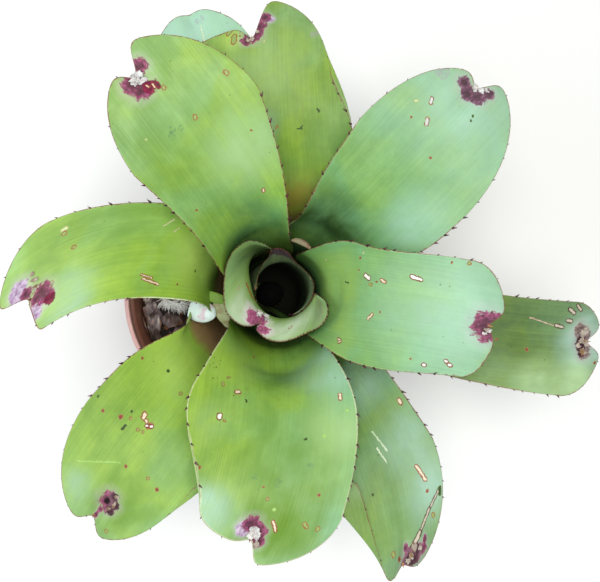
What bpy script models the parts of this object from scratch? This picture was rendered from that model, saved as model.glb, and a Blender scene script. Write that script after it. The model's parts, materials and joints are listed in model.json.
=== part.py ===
# A neoregelia in a plain plastic pot: twelve strap leaves in a spiral round a narrow
# water tank, on a short stem rooted in coarse bark.
# Metres, +Z up. The origin is the centre of the pot's flat underside.

import math
import random
from dataclasses import dataclass

import bmesh
import bpy
import numpy as np
from mathutils import Matrix, Vector

MM = 0.001

# Pot: a turned plastic shell with a collar below its lip.
POT_HEIGHT = 130 * MM
LIP_RADIUS = 79.5 * MM
LIP_WIDTH = 3.0 * MM
LIP_ROUND = 1.0 * MM
COLLAR_HEIGHT = 16 * MM
COLLAR_STEP = 2.2 * MM
FOOT_RADIUS = 57 * MM
POT_WALL = 1.8 * MM
POT_FLOOR = 2.4 * MM
FLOOR_ROUND = 3 * MM
POT_SIDES = 40
DRAIN_HOLES = 8
DRAIN_RADIUS = 4.5 * MM
DRAIN_RING = 38 * MM

# Gap between pieces that rest on each other.
CLEARANCE = 0.35 * MM

# Bark: fills the pot to a little below the lip, with loose chips on its top.
BARK_LEVEL = 107 * MM
BARK_CHIPS = 44
CHIP_SIZES = ((14 * MM, 22 * MM), (9 * MM, 15 * MM), (4 * MM, 7 * MM))
CHIP_RING = (26 * MM, 62 * MM)
CHIP_RISE = (-0.5 * MM, 1.5 * MM)
CHIP_TILT = 0.35
LOW_CHIP_TILT = 0.1
STEM_ROOM = 30 * MM
LEAF_ROOM = 38 * MM
TUFT_ROOM = 13 * MM
SEAT_SIZE = (22 * MM, 17 * MM, 5 * MM)
CHIP_SEED = 12
SEAT_SEED = 3

# Plant: it stands off centre in the pot and leans to +X.
PLANT_FOOT = (13.5 * MM, 1.2 * MM, BARK_LEVEL)
PLANT_LEAN = math.radians(6.5)
STEM_RADIUS = 8.3 * MM
STEM_TOP = 36 * MM
STEM_ROOT = 34 * MM
STEM_SIDES = 24

# Leaves: all share one way of growing, and differ by rank (1 is the innermost).
LEAF_THICKNESS = 0.9 * MM
LEAF_START = STEM_RADIUS + 0.8 * MM
FIRST_LEAF_HEIGHT = 30 * MM
RANK_DROP = 2.4 * MM
RANK_REACH = 2.8 * MM
FOOT_SLOPE = 38.0
FOOT_BEND = 18 * MM
FOOT_WIDTH = 10.5 * MM
SHEATH_WIDTH = 18.1 * MM
SHEATH_WIDENING = 2.75 * MM
WIDTH_PLACES = (0, 0.10, 0.22, 0.42, 0.66)
BLADE_BEND = 55 * MM
ARCH_START = 0.6
ARCH_LIMIT = 0.8
ARCH_CURVE = 1.3
SWEEP_CURVE = 1.5
FLATTENING = 50 * MM
FLATTENING_START = 0.8
NOTCH_WIDTH = 6 * MM
PROFILE_STEPS = 500
PROFILE_SPARE = 60 * MM

# The leaf's mesh: finer near the foot and at the corners of the end.
LEAF_COLUMNS = 8
LEAF_ROWS = 15
ROW_CROWDING = 1.35
END_CROWDING = 1.35

# Spines along the leaf edges, and the dry point in each leaf's notch.
SPINE_LENGTH = 1.9 * MM
SPINE_WIDTH = 0.84 * MM
SPINE_SINK = 1.3 * MM
SPINE_PITCH = 17 * MM
SPINE_LEAN = 0.55
PITCH_SPREAD = 0.15
LENGTH_SPREAD = 0.2
BARE_ABOVE_SHEATH = 8 * MM
BARE_ROUND_NOTCH = 9 * MM
POINT_LENGTH = 4.5 * MM
POINT_WIDTH = 1.8 * MM
POINT_SINK = 2.5 * MM
POINT_DROOP = 0.5
SPINE_SEED = 100
EDGE_STEPS = 40
EDGE_INSET = 0.06

# Tuft of pale fibre lying on the bark: strands that reach out of a small wad.
TUFT_PLACE = (-48 * MM, -6 * MM)
TUFT_SEAT = 2.5 * MM
TUFT_REACH = (8.5 * MM, 5.4 * MM)
TUFT_WAD = (5.1 * MM, 2.7 * MM, 1.3 * MM)
TUFT_STRANDS = 18
STRAND_WIDTH = 1.5 * MM
STRAND_RISE = 3.0 * MM
TUFT_SEED = 5


@dataclass
class Leaf:
    """One leaf: angles in degrees, lengths in mm, pairs are (left, right) seen from the stem."""
    rank: int
    turn: float
    length: float
    sheath: float
    slopes: tuple
    sweep: float
    neck: tuple
    widest: tuple
    shoulder: tuple
    lobes: tuple
    notch: float
    shoulder_at: float
    opening: float = 1.0


LEAVES = [
    Leaf(1, 100, 114, 75, (89, 75, 40), 0, (14, 30), (16, 42), (18, 44), (0, 0), 0, 0.86, opening=0.0),
    Leaf(2, 232, 116, 70, (88, 50, 20), 0, (34, 34), (41, 38), (48, 48), (1, 8), 2, 0.92, opening=0.0),
    Leaf(3, 353.5, 203.5, 60, (86, 48, -4), -2.5, (35.5, 26), (31.5, 33.5), (32, 29.5), (5.5, 1.5), 2, 0.92),
    Leaf(4, 125, 235.5, 57, (84, 45, -6), 1.5, (24, 24), (25, 38.5), (31, 47), (0.5, 10.5), 6.5, 0.8),
    Leaf(5, 270, 211.5, 54, (82, 41, -9), -9.5, (27, 40), (40, 52.5), (42.5, 33), (16, 3.5), -1.5, 0.92),
    Leaf(6, 49, 225, 51, (80, 38, -11), -1, (24, 26), (32, 42), (35, 43.5), (10, 17), -4, 0.76),
    Leaf(7, 153.5, 215, 48, (78, 35, -14), 30.5, (27, 32.5), (25, 29), (21.5, 34), (-10, 9), 8, 0.92),
    Leaf(8, 307.5, 228.5, 44, (77, 31, -16), -14, (24, 30), (25.5, 39), (29.5, 20), (7, 13.5), -1, 0.76),
    Leaf(9, 102, 208, 41, (75, 28, -19), -5, (35.5, 35.5), (50, 54.5), (48.5, 44), (1, 21), 4.5, 0.84),
    Leaf(10, 223.5, 213.5, 38, (73, 25, -21), 5.5, (28.5, 26.5), (44.5, 37.5), (37.5, 39), (14.5, 13), -4,
         0.78),
    Leaf(11, 347, 240, 35, (71, 21, -24), 4.5, (30, 24), (25, 27.5), (24, 32.5), (3.5, 7), 4, 0.92),
    Leaf(12, 109, 215, 32, (69, 18, -26), -1, (34, 36), (38, 42), (28, 30), (4, 5), 2, 0.84),
]


def clear_scene():
    for obj in list(bpy.data.objects):
        bpy.data.objects.remove(obj, do_unlink=True)


def collection(name):
    group = bpy.data.collections.new(name)
    bpy.context.scene.collection.children.link(group)
    return group


def material(name, colour, roughness):
    mat = bpy.data.materials.new(name)
    mat.use_nodes = True
    shader = mat.node_tree.nodes["Principled BSDF"]
    shader.inputs["Base Color"].default_value = (*colour, 1)
    shader.inputs["Roughness"].default_value = roughness
    return mat


def new_object(name, mesh, group, mat=None):
    obj = bpy.data.objects.new(name, mesh)
    group.objects.link(obj)
    if mat:
        mesh.materials.append(mat)
    return obj


def mesh_from(bm, name):
    mesh = bpy.data.meshes.new(name)
    bm.to_mesh(mesh)
    bm.free()
    return mesh


def apply_modifiers(obj):
    graph = bpy.context.evaluated_depsgraph_get()
    mesh = bpy.data.meshes.new_from_object(obj.evaluated_get(graph))
    obj.modifiers.clear()
    obj.data = mesh


def fuse(obj, group):
    """Joins a collection's solids to obj in one union, then removes them."""
    union = obj.modifiers.new("Fuse", "BOOLEAN")
    union.operation = "UNION"
    union.operand_type = "COLLECTION"
    union.collection = group
    union.solver = "MANIFOLD"
    apply_modifiers(obj)
    for piece in list(group.objects):
        bpy.data.objects.remove(piece, do_unlink=True)
    bpy.data.collections.remove(group)
    keep_largest_shell(obj)


def keep_largest_shell(obj):
    """Fills hollows that a union sealed and drops loose scraps: only the biggest shell stays."""
    bm = bmesh.new()
    bm.from_mesh(obj.data)
    waiting = set(bm.faces)
    shells = []
    while waiting:
        front = [waiting.pop()]
        shell = set(front)
        while front:
            for edge in front.pop().edges:
                for face in edge.link_faces:
                    if face in waiting:
                        waiting.remove(face)
                        shell.add(face)
                        front.append(face)
        shells.append(shell)
    biggest = max(shells, key=len)
    spare = [face for shell in shells if shell is not biggest for face in shell]
    bmesh.ops.delete(bm, geom=spare, context="FACES")
    bm.to_mesh(obj.data)
    bm.free()


def cut(obj, cutters):
    """Takes every solid of a collection out of obj."""
    for cutter in cutters.objects:
        cutter.hide_render = True
        cutter.display_type = "WIRE"
    hole = obj.modifiers.new("Cut", "BOOLEAN")
    hole.operation = "DIFFERENCE"
    hole.operand_type = "COLLECTION"
    hole.collection = cutters


def turned(name, outline, sides, group, mat=None):
    """A solid of revolution from (radius, height) points running down its outer side."""
    mesh = bpy.data.meshes.new(name)
    points = [(radius, 0, height) for radius, height in outline]
    edges = [(i, i + 1) for i in range(len(points) - 1)]
    mesh.from_pydata(points, edges, [])
    obj = new_object(name, mesh, group, mat)
    screw = obj.modifiers.new("Turn", "SCREW")
    screw.steps = sides
    screw.render_steps = sides
    screw.use_merge_vertices = True
    screw.merge_threshold = 0.00005
    return obj


def smooth(x):
    x = np.clip(x, 0.0, 1.0)
    return x * x * (3 - 2 * x)


def through(xs, ys, x):
    """A smooth curve through a few points, its slopes taken from their neighbours."""
    xs, ys = np.array(xs, float), np.array(ys, float)
    slope = np.gradient(ys, xs)
    i = np.clip(np.searchsorted(xs, x) - 1, 0, len(xs) - 2)
    gap = xs[i + 1] - xs[i]
    t = (x - xs[i]) / gap
    rise = slope[i] * t * (1 - t) ** 2 - slope[i + 1] * t * t * (1 - t)
    return ys[i] * (1 + 2 * t) * (1 - t) ** 2 + ys[i + 1] * t * t * (3 - 2 * t) + gap * rise


def summed(values, x):
    """The running area under a curve."""
    return np.concatenate([[0], np.cumsum((values[1:] + values[:-1]) / 2 * np.diff(x))])


def sheath_end(leaf):
    """How far up the leaf its sheath reaches, before the blade bends away."""
    return RANK_REACH * (leaf.rank - 1) + FOOT_BEND + leaf.sheath * MM


def leaf_profile(leaf):
    """The leaf's side view: arc length up the midrib, distance from the axis, height.
    Each rank starts lower on the stem and turns up further out, so the sheaths nest."""
    arc = np.linspace(0, leaf.length * MM + PROFILE_SPARE, PROFILE_STEPS)
    side, blade, tip = leaf.slopes
    foot = RANK_REACH * (leaf.rank - 1)
    top = sheath_end(leaf)
    arch = min(top + ARCH_START * BLADE_BEND, ARCH_LIMIT * leaf.length * MM)
    along = np.clip((arc - arch) / (leaf.length * MM - arch), 0, 1.3)
    slope = FOOT_SLOPE + (side - FOOT_SLOPE) * smooth((arc - foot) / FOOT_BEND)
    slope = slope + (blade - side) * smooth((arc - top) / BLADE_BEND)
    slope = np.radians(slope + (tip - blade) * along ** ARCH_CURVE)
    radius = LEAF_START + summed(np.cos(slope), arc)
    height = FIRST_LEAF_HEIGHT - RANK_DROP * (leaf.rank - 1) + summed(np.sin(slope), arc)
    return arc, radius, height


def half_width(leaf, side, arc):
    """Half the leaf's width along the surface, from foot to shoulder."""
    sheath = SHEATH_WIDTH + SHEATH_WIDENING * (leaf.rank - 1)
    low = (FOOT_WIDTH, 0.55 * FOOT_WIDTH + 0.45 * sheath, sheath)
    high = [width * MM for width in (leaf.neck[side], leaf.widest[side], leaf.shoulder[side])]
    return through((*WIDTH_PLACES, leaf.shoulder_at), (*low, *high), arc / (leaf.length * MM))


def leaf_chart(leaf, t, c):
    """Rows t (0 foot, 1 end) and columns c (-1 left, 1 right) to arc length and sideways offset."""
    at_end = np.sign(c) * np.sin(np.pi / 2 * np.abs(c) ** END_CROWDING)
    v = c + (at_end - c) * t ** 2
    left = v < 0
    shoulder = leaf.shoulder_at * leaf.length * MM
    lobe = np.where(left, leaf.lobes[0], leaf.lobes[1]) * MM
    corner = np.where(left, leaf.shoulder[0], leaf.shoulder[1]) * MM
    end = shoulder + (leaf.length * MM + lobe - shoulder) * np.sqrt(np.clip(1 - v * v, 0, 1))
    end = end - (lobe + leaf.notch * MM) * np.exp(-(v * corner / NOTCH_WIDTH) ** 2)
    edge = t * shoulder
    width = np.where(left, half_width(leaf, 0, edge), half_width(leaf, 1, edge))
    return t * end, v * width


def leaf_point(leaf, t, c):
    """Points of the leaf's middle surface: wrapped round the tank below, opening flat above."""
    profile = leaf_profile(leaf)
    arc, offset = leaf_chart(leaf, t, c)
    radius = np.interp(arc, profile[0], profile[1])
    open_up = leaf.opening * smooth((arc - FLATTENING_START * sheath_end(leaf)) / FLATTENING)
    around = (1 - open_up) * offset / radius + open_up * np.arctan2(offset, radius)
    flat_arc = np.interp(np.hypot(radius, offset), profile[1], profile[0])
    arc_there = arc + open_up * (flat_arc - arc)
    radius = np.interp(arc_there, profile[0], profile[1])
    height = np.interp(arc_there, profile[0], profile[2])
    along = np.clip((arc - sheath_end(leaf)) / (leaf.length * MM - sheath_end(leaf)), 0, 1.2)
    angle = math.radians(leaf.turn) - around + math.radians(leaf.sweep) * along ** SWEEP_CURVE
    return np.stack([radius * np.cos(angle), radius * np.sin(angle), height], -1)


def plant_place():
    return Matrix.Translation(PLANT_FOOT) @ Matrix.Rotation(PLANT_LEAN, 4, "Y")


def leaf_sheet(leaf, name):
    """The leaf as an open sheet of triangles, alike on both faces once it has thickness."""
    bm = bmesh.new()
    bmesh.ops.create_grid(bm, x_segments=LEAF_COLUMNS, y_segments=LEAF_ROWS, size=0.5)
    for vert in bm.verts:
        c, t = vert.co.x * 2, (vert.co.y + 0.5) ** ROW_CROWDING
        vert.co = Vector(leaf_point(leaf, np.array(t), np.array(c)))
    bmesh.ops.triangulate(bm, faces=bm.faces[:], quad_method="SHORT_EDGE")
    return mesh_from(bm, name)


def leaf_edge(leaf, inset=0.0):
    """The sheet's own faceted edge, from the left foot round the end to the right foot."""
    rows = (np.arange(LEAF_ROWS + 1) / LEAF_ROWS) ** ROW_CROWDING
    columns = np.linspace(-1, 1, LEAF_COLUMNS + 1)
    t = np.concatenate([rows, np.ones(LEAF_COLUMNS - 1), rows[::-1]]) * (1 - inset * 0.5)
    c = np.concatenate([-np.ones(LEAF_ROWS + 1), columns[1:-1], np.ones(LEAF_ROWS + 1)]) * (1 - inset)
    corners = leaf_point(leaf, t, c)
    arc = leaf_chart(leaf, t, c)[0]
    place = np.linspace(0, len(corners) - 1, (len(corners) - 1) * EDGE_STEPS + 1)
    whole = np.arange(len(corners))
    points = np.stack([np.interp(place, whole, corners[:, k]) for k in range(3)], -1)
    return points, np.interp(place, whole, arc)


def cone_between(name, root, point, width, group):
    """A three-sided spine from root to point."""
    bm = bmesh.new()
    length = (point - root).length
    bmesh.ops.create_cone(bm, cap_ends=True, segments=3, radius1=width / 2, radius2=width / 12, depth=length)
    turn = (point - root).to_track_quat("Z", "X").to_matrix().to_4x4()
    bmesh.ops.transform(bm, matrix=Matrix.Translation((root + point) / 2) @ turn, verts=bm.verts)
    return new_object(name, mesh_from(bm, name), group)


def leaf_spines(leaf, group):
    """Spines at an even pitch along both edges and round the end, leaning forward."""
    rng = random.Random(SPINE_SEED + leaf.rank)
    edge, arc = leaf_edge(leaf)
    inner = leaf_edge(leaf, EDGE_INSET)[0]
    middle = len(edge) // 2
    travelled = 0.0
    for i in range(1, len(edge)):
        travelled += float(np.linalg.norm(edge[i] - edge[i - 1]))
        if travelled < SPINE_PITCH:
            continue
        travelled = rng.uniform(-PITCH_SPREAD, PITCH_SPREAD) * SPINE_PITCH
        on_sheath = arc[i] < sheath_end(leaf) + BARE_ABOVE_SHEATH
        if on_sheath or np.linalg.norm(edge[i] - edge[middle]) < BARE_ROUND_NOTCH:
            continue
        outward = Vector(edge[i] - inner[i]).normalized()
        forward = Vector(edge[i] - edge[i - 1]).normalized() * (1 if i < middle else -1)
        lean = (outward + SPINE_LEAN * forward).normalized()
        root = Vector(edge[i]) - outward * SPINE_SINK
        length = SPINE_LENGTH * rng.uniform(1 - LENGTH_SPREAD, 1 + LENGTH_SPREAD)
        cone_between(f"spine_{i}", root, Vector(edge[i]) + lean * length, SPINE_WIDTH, group)
    outward = Vector(edge[middle] - inner[middle]).normalized()
    lean = (outward - Vector((0, 0, POINT_DROOP))).normalized()
    notch = Vector(edge[middle])
    cone_between("point", notch - outward * POINT_SINK, notch + lean * POINT_LENGTH, POINT_WIDTH, group)


def add_leaf(leaf, group, mat):
    name = f"leaf_{leaf.rank:02d}"
    obj = new_object(name, leaf_sheet(leaf, name), group, mat)
    shell = obj.modifiers.new("Thickness", "SOLIDIFY")
    shell.thickness = LEAF_THICKNESS
    shell.offset = 0
    shell.use_quality_normals = True
    apply_modifiers(obj)
    spines = collection(name + " spines")
    leaf_spines(leaf, spines)
    fuse(obj, spines)
    obj.matrix_world = plant_place()
    return obj


def pot_radius(height, inside=0.0):
    """Outer radius of the pot's tapering wall below its collar."""
    wall_top = LIP_RADIUS - COLLAR_STEP
    return FOOT_RADIUS + (wall_top - FOOT_RADIUS) * height / POT_HEIGHT - inside


def pot_outline():
    """The pot's cut face, from the middle of its floor up the inside and down the outside."""
    collar = POT_HEIGHT - COLLAR_HEIGHT
    inner_lip = LIP_RADIUS - LIP_WIDTH
    return [
        (0, POT_FLOOR),
        (pot_radius(POT_FLOOR, POT_WALL) - FLOOR_ROUND, POT_FLOOR),
        (pot_radius(POT_FLOOR + FLOOR_ROUND, POT_WALL), POT_FLOOR + FLOOR_ROUND),
        (pot_radius(collar, POT_WALL), collar),
        (inner_lip, POT_HEIGHT - 2 * LIP_ROUND),
        (inner_lip + 0.3 * LIP_ROUND, POT_HEIGHT - 0.4 * LIP_ROUND),
        (inner_lip + LIP_ROUND, POT_HEIGHT),
        (LIP_RADIUS - LIP_ROUND, POT_HEIGHT),
        (LIP_RADIUS - 0.2 * LIP_ROUND, POT_HEIGHT - 0.5 * LIP_ROUND),
        (LIP_RADIUS, POT_HEIGHT - LIP_ROUND),
        (LIP_RADIUS - 0.8 * LIP_ROUND, collar),
        (pot_radius(collar) + 0.2 * LIP_ROUND, collar),
        (pot_radius(FLOOR_ROUND), FLOOR_ROUND),
        (FOOT_RADIUS - 0.5 * FLOOR_ROUND, 0),
        (0, 0),
    ]


def add_pot(group, mat):
    pot = turned("pot", pot_outline(), POT_SIDES, group, mat)
    drills = collection("drain holes")
    for i in range(DRAIN_HOLES):
        angle = 2 * math.pi * i / DRAIN_HOLES
        bm = bmesh.new()
        bmesh.ops.create_cone(bm, cap_ends=True, segments=12, radius1=DRAIN_RADIUS, radius2=DRAIN_RADIUS,
                              depth=4 * POT_FLOOR)
        drill = new_object(f"drain_{i}", mesh_from(bm, f"drain_{i}"), drills)
        drill.location = (DRAIN_RING * math.cos(angle), DRAIN_RING * math.sin(angle), 0)
    cut(pot, drills)
    return pot


def chip_mesh(size, rng, name):
    """A broken flake of bark: a box with its corners pushed about."""
    bm = bmesh.new()
    bmesh.ops.create_cube(bm, size=1)
    for vert in bm.verts:
        vert.co = Vector(vert.co[k] * size[k] * rng.uniform(0.62, 1.0) for k in range(3))
    return mesh_from(bm, name)


def bark_outline():
    floor = POT_FLOOR + CLEARANCE
    bevel = FLOOR_ROUND + 1 * MM
    inside = POT_WALL + 1.5 * CLEARANCE
    return [
        (0, BARK_LEVEL),
        (pot_radius(BARK_LEVEL, inside) - 1 * MM, BARK_LEVEL),
        (pot_radius(BARK_LEVEL, inside), BARK_LEVEL - 2 * MM),
        (pot_radius(floor + bevel, inside), floor + bevel),
        (pot_radius(floor + bevel, inside) - bevel, floor),
        (0, floor),
    ]


def scatter_chips(chips):
    """Loose chips round the stem, lower under the leaves, with one flat chip under the tuft."""
    rng = random.Random(CHIP_SEED)
    placed = 0
    while placed < BARK_CHIPS:
        angle = rng.uniform(0, 2 * math.pi)
        reach = rng.uniform(*CHIP_RING)
        spot = Vector((reach * math.cos(angle), reach * math.sin(angle)))
        from_stem = (spot - Vector(PLANT_FOOT[:2])).length
        if from_stem < STEM_ROOM or (spot - Vector(TUFT_PLACE)).length < TUFT_ROOM:
            continue
        size = [rng.uniform(*span) for span in CHIP_SIZES]
        chip = new_object(f"chip_{placed}", chip_mesh(size, rng, "chip"), chips)
        tilt = CHIP_TILT if from_stem > LEAF_ROOM else LOW_CHIP_TILT
        chip.rotation_euler = (rng.uniform(-tilt, tilt), rng.uniform(-tilt, tilt), rng.uniform(0, math.tau))
        chip.location = (spot.x, spot.y, BARK_LEVEL + rng.uniform(*CHIP_RISE))
        placed += 1
    seat = new_object("chip_seat", chip_mesh(SEAT_SIZE, random.Random(SEAT_SEED), "seat"), chips)
    seat.location = (*TUFT_PLACE, BARK_LEVEL)


def add_bark(group, mat):
    bark = turned("bark_mix", bark_outline(), POT_SIDES, group, mat)
    apply_modifiers(bark)
    chips = collection("bark chips")
    scatter_chips(chips)
    fuse(bark, chips)
    hole = collection("stem hole")
    add_stem("stem room", CLEARANCE, hole)
    cut(bark, hole)
    return bark


def add_stem(name, grow, group, mat=None):
    """A short stub with a rounded top and a blunt root, in the plant's own lean."""
    radius = STEM_RADIUS + grow
    top = STEM_TOP + grow
    root = -STEM_ROOT - grow
    outline = [
        (0, top),
        (0.6 * radius, top - 0.1 * radius),
        (radius, top - 0.5 * radius),
        (radius, root + radius),
        (0.55 * radius, root + 0.12 * radius),
        (0, root),
    ]
    stem = turned(name, outline, STEM_SIDES, group, mat)
    stem.matrix_world = plant_place()
    return stem


def add_tuft(group, mat):
    """A loose wad of pale fibre: slim strands round a small flat core."""
    rng = random.Random(TUFT_SEED)
    bm = bmesh.new()
    bmesh.ops.create_icosphere(bm, subdivisions=1, radius=1)
    for vert in bm.verts:
        vert.co = Vector(vert.co[k] * TUFT_WAD[k] for k in range(3))
    tuft = new_object("fibre_tuft", mesh_from(bm, "fibre_tuft"), group, mat)
    strands = collection("tuft strands")
    for i in range(TUFT_STRANDS):
        angle = 2 * math.pi * (i + rng.uniform(-0.3, 0.3)) / TUFT_STRANDS
        away = Vector((TUFT_REACH[0] * math.cos(angle), TUFT_REACH[1] * math.sin(angle), 0))
        point = away * rng.uniform(0.8, 1.5) + Vector((0, 0, rng.uniform(0, STRAND_RISE)))
        cone_between(f"strand_{i}", 0.25 * away, point, STRAND_WIDTH, strands)
    fuse(tuft, strands)
    tuft.location = (*TUFT_PLACE, BARK_LEVEL + TUFT_SEAT + CLEARANCE + TUFT_WAD[2])
    return tuft


def main():
    clear_scene()
    plant = collection("neoregelia")
    add_pot(plant, material("terracotta plastic", (0.36, 0.13, 0.085), 0.45))
    add_bark(plant, material("bark", (0.085, 0.055, 0.040), 0.9))
    add_tuft(plant, material("pale fibre", (0.62, 0.55, 0.44), 0.9))
    add_stem("stem", 0, plant, material("stem", (0.20, 0.16, 0.08), 0.8))
    green = material("leaf", (0.22, 0.42, 0.08), 0.42)
    for leaf in LEAVES:
        add_leaf(leaf, plant, green)


main()
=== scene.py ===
# A neoregelia in its plastic pot: twelve strap leaves in a spiral round a dark water tank.
# Metres, +Z up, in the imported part's own frame.

import json
import math
import random

import bmesh
import bpy
import numpy as np
from mathutils import Euler, Matrix, Vector, noise

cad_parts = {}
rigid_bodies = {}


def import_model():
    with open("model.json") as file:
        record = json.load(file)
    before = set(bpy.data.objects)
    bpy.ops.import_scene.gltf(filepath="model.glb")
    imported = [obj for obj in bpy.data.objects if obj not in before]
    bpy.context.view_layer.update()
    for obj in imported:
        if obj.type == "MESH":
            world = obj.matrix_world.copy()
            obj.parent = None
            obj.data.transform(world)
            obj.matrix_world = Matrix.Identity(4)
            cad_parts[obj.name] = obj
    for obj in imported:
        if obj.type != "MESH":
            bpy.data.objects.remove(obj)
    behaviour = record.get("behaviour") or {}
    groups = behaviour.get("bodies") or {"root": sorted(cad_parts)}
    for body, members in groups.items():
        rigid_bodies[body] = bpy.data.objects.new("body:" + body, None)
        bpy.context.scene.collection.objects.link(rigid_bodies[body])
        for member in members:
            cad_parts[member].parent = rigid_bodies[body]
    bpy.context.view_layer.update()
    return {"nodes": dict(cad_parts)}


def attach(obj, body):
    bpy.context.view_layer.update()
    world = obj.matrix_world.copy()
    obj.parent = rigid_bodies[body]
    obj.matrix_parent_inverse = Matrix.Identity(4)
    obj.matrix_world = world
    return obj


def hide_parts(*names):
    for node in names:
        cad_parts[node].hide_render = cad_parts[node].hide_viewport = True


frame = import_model()
mm = 0.001
noise.seed_set(5)  # noise_vector draws its offsets from this
print(f"frame loaded: {len(frame['nodes'])} nodes")


# Small helpers for objects and meshes.

def paint(code):  # "8bc34a" to a linear colour
    channels = [int(code[i:i + 2], 16) / 255 for i in (0, 2, 4)]
    return (*[c / 12.92 if c < 0.04045 else ((c + 0.055) / 1.055) ** 2.4 for c in channels], 1)


def newObject(name, mesh):
    piece = bpy.data.objects.new(name, mesh)
    bpy.context.scene.collection.objects.link(piece)
    return piece


def meshFromBmesh(name, bm):
    mesh = bpy.data.meshes.new(name)
    bm.to_mesh(mesh)
    bm.free()
    return mesh


def closedPiece(name, bm):  # an object whose faces point outwards
    bmesh.ops.recalc_face_normals(bm, faces=bm.faces[:])
    return newObject(name, meshFromBmesh(name, bm))


def joinRings(bm, rings, closed=True):  # quads from ring to ring, and faces over the two ends
    for low, high in zip(rings, rings[1:]):
        for k in range(len(low)):
            after = (k + 1) % len(low)
            bm.faces.new((low[k], low[after], high[after], high[k]))
    if closed:
        bm.faces.new(rings[0][::-1])
        bm.faces.new(rings[-1])


def finished(piece):  # modifiers become plain mesh
    graph = bpy.context.evaluated_depsgraph_get()
    mesh = bpy.data.meshes.new_from_object(piece.evaluated_get(graph), depsgraph=graph)
    piece.modifiers.clear()
    piece.data = mesh
    mesh.name = piece.name
    return piece


def newCollection(name, members):
    holder = bpy.data.collections.new(name)
    bpy.context.scene.collection.children.link(holder)
    for member in members:
        holder.objects.link(member)
    return holder


def clearAway(holder):
    for member in list(holder.objects):
        bpy.data.objects.remove(member)
    bpy.data.collections.remove(holder)


def cutAway(piece, cutters):  # takes the cutters' shapes out of a piece
    holder = newCollection(piece.name + "Cutters", cutters)
    cut = piece.modifiers.new("cut", "BOOLEAN")
    cut.operand_type = "COLLECTION"
    cut.collection = holder
    cut.solver = "EXACT"
    finished(piece)
    piece.data.validate()
    clearAway(holder)


def handOver(piece, slot, *nodes):
    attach(piece, "root")
    if nodes:
        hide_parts(*nodes)


def paintPiece(piece, material):
    piece.data.materials.clear()
    piece.data.materials.append(material)


def smoothed(piece, angle):
    piece.data.shade_smooth()
    piece.data.set_sharp_from_angle(angle=math.radians(angle))


def dressPiece(piece, skin, angle, slot, *nodes):
    smoothed(piece, angle)
    paintPiece(piece, skin)
    handOver(piece, slot, *nodes)


# Small helpers for node trees.

def addNode(tree, kind, *values, **settings):
    made = tree.nodes.new(kind)
    for name, value in settings.items():
        setattr(made, name, value)
    for socket, value in zip(made.inputs, values):
        feed(tree, socket, value)
    return made


def feed(tree, socket, value):
    if isinstance(value, bpy.types.NodeSocket):
        tree.links.new(value, socket)
    elif value is not None:
        socket.default_value = value


def maths(tree, operation, a, b=None, c=None, clamp=False):
    return addNode(tree, "ShaderNodeMath", a, b, c, operation=operation, use_clamp=clamp).outputs[0]


def times(tree, a, b):
    return maths(tree, "MULTIPLY", a, b)


def plus(tree, a, b):
    return maths(tree, "ADD", a, b)


def minus(tree, a, b):
    return maths(tree, "SUBTRACT", a, b)


def divided(tree, a, b):
    return maths(tree, "DIVIDE", a, b)


def between(tree, value, low, high, outLow=0.0, outHigh=1.0, kind="SMOOTHSTEP"):
    made = addNode(tree, "ShaderNodeMapRange", value, low, high, outLow, outHigh, interpolation_type=kind)
    return made.outputs[0]


def flatLength(tree, x, y):
    return maths(tree, "SQRT", plus(tree, times(tree, x, x), times(tree, y, y)))


def vectorMath(tree, operation, *vectors):
    return addNode(tree, "ShaderNodeVectorMath", *vectors, operation=operation).outputs[0]


def stretched(tree, vector, x, y, z=0.0):
    return vectorMath(tree, "MULTIPLY", vector, (x, y, z))


def scaledBy(tree, vector, factor):
    made = addNode(tree, "ShaderNodeVectorMath", vector, operation="SCALE")
    feed(tree, made.inputs["Scale"], factor)
    return made.outputs[0]


def lengthOf(tree, vector):
    return addNode(tree, "ShaderNodeVectorMath", vector, operation="LENGTH").outputs["Value"]


def xyz(tree, vector):
    return addNode(tree, "ShaderNodeSeparateXYZ", vector).outputs


def objectPlace(tree):
    return addNode(tree, "ShaderNodeTexCoord").outputs["Object"]


def mixed(tree, factor, a, b):  # of two colours, as sockets or as codes
    made = addNode(tree, "ShaderNodeMix", data_type="RGBA")
    feed(tree, made.inputs[0], factor)
    for socket, value in zip((made.inputs[6], made.inputs[7]), (a, b)):
        feed(tree, socket, paint(value) if isinstance(value, str) else value)
    return made.outputs[2]


def ramped(tree, value, stops):  # stops are (place, colour code)
    made = addNode(tree, "ShaderNodeValToRGB", value)
    marks = made.color_ramp.elements
    while len(marks) < len(stops):
        marks.new(0.5)
    for mark, (place, code) in zip(marks, stops):
        mark.position = place
        mark.color = paint(code)
    return made.outputs[0]


def speckle(tree, vector, scale, detail=2.0, roughness=0.5, distortion=0.0, output=0):
    made = tree.nodes.new("ShaderNodeTexNoise")
    for name, value in (("Vector", vector), ("Scale", scale), ("Detail", detail), ("Roughness", roughness),
                        ("Distortion", distortion)):
        feed(tree, made.inputs[name], value)
    return made.outputs[output]


def newGroup(name, inputs, outputs):  # an input without a value is a vector
    group = bpy.data.node_groups.new(name, "ShaderNodeTree")
    for title, value in inputs.items():
        kind = "NodeSocketVector" if value is None else "NodeSocketFloat"
        socket = group.interface.new_socket(title, in_out="INPUT", socket_type=kind)
        if value is not None:
            socket.default_value = value
    for title in outputs:
        group.interface.new_socket(title, in_out="OUTPUT", socket_type="NodeSocketFloat")
    return group, group.nodes.new("NodeGroupInput").outputs, group.nodes.new("NodeGroupOutput").inputs


def useGroup(tree, group, **values):
    made = addNode(tree, "ShaderNodeGroup", node_tree=group)
    for name, value in values.items():
        feed(tree, made.inputs[name], value)
    return made.outputs


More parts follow.
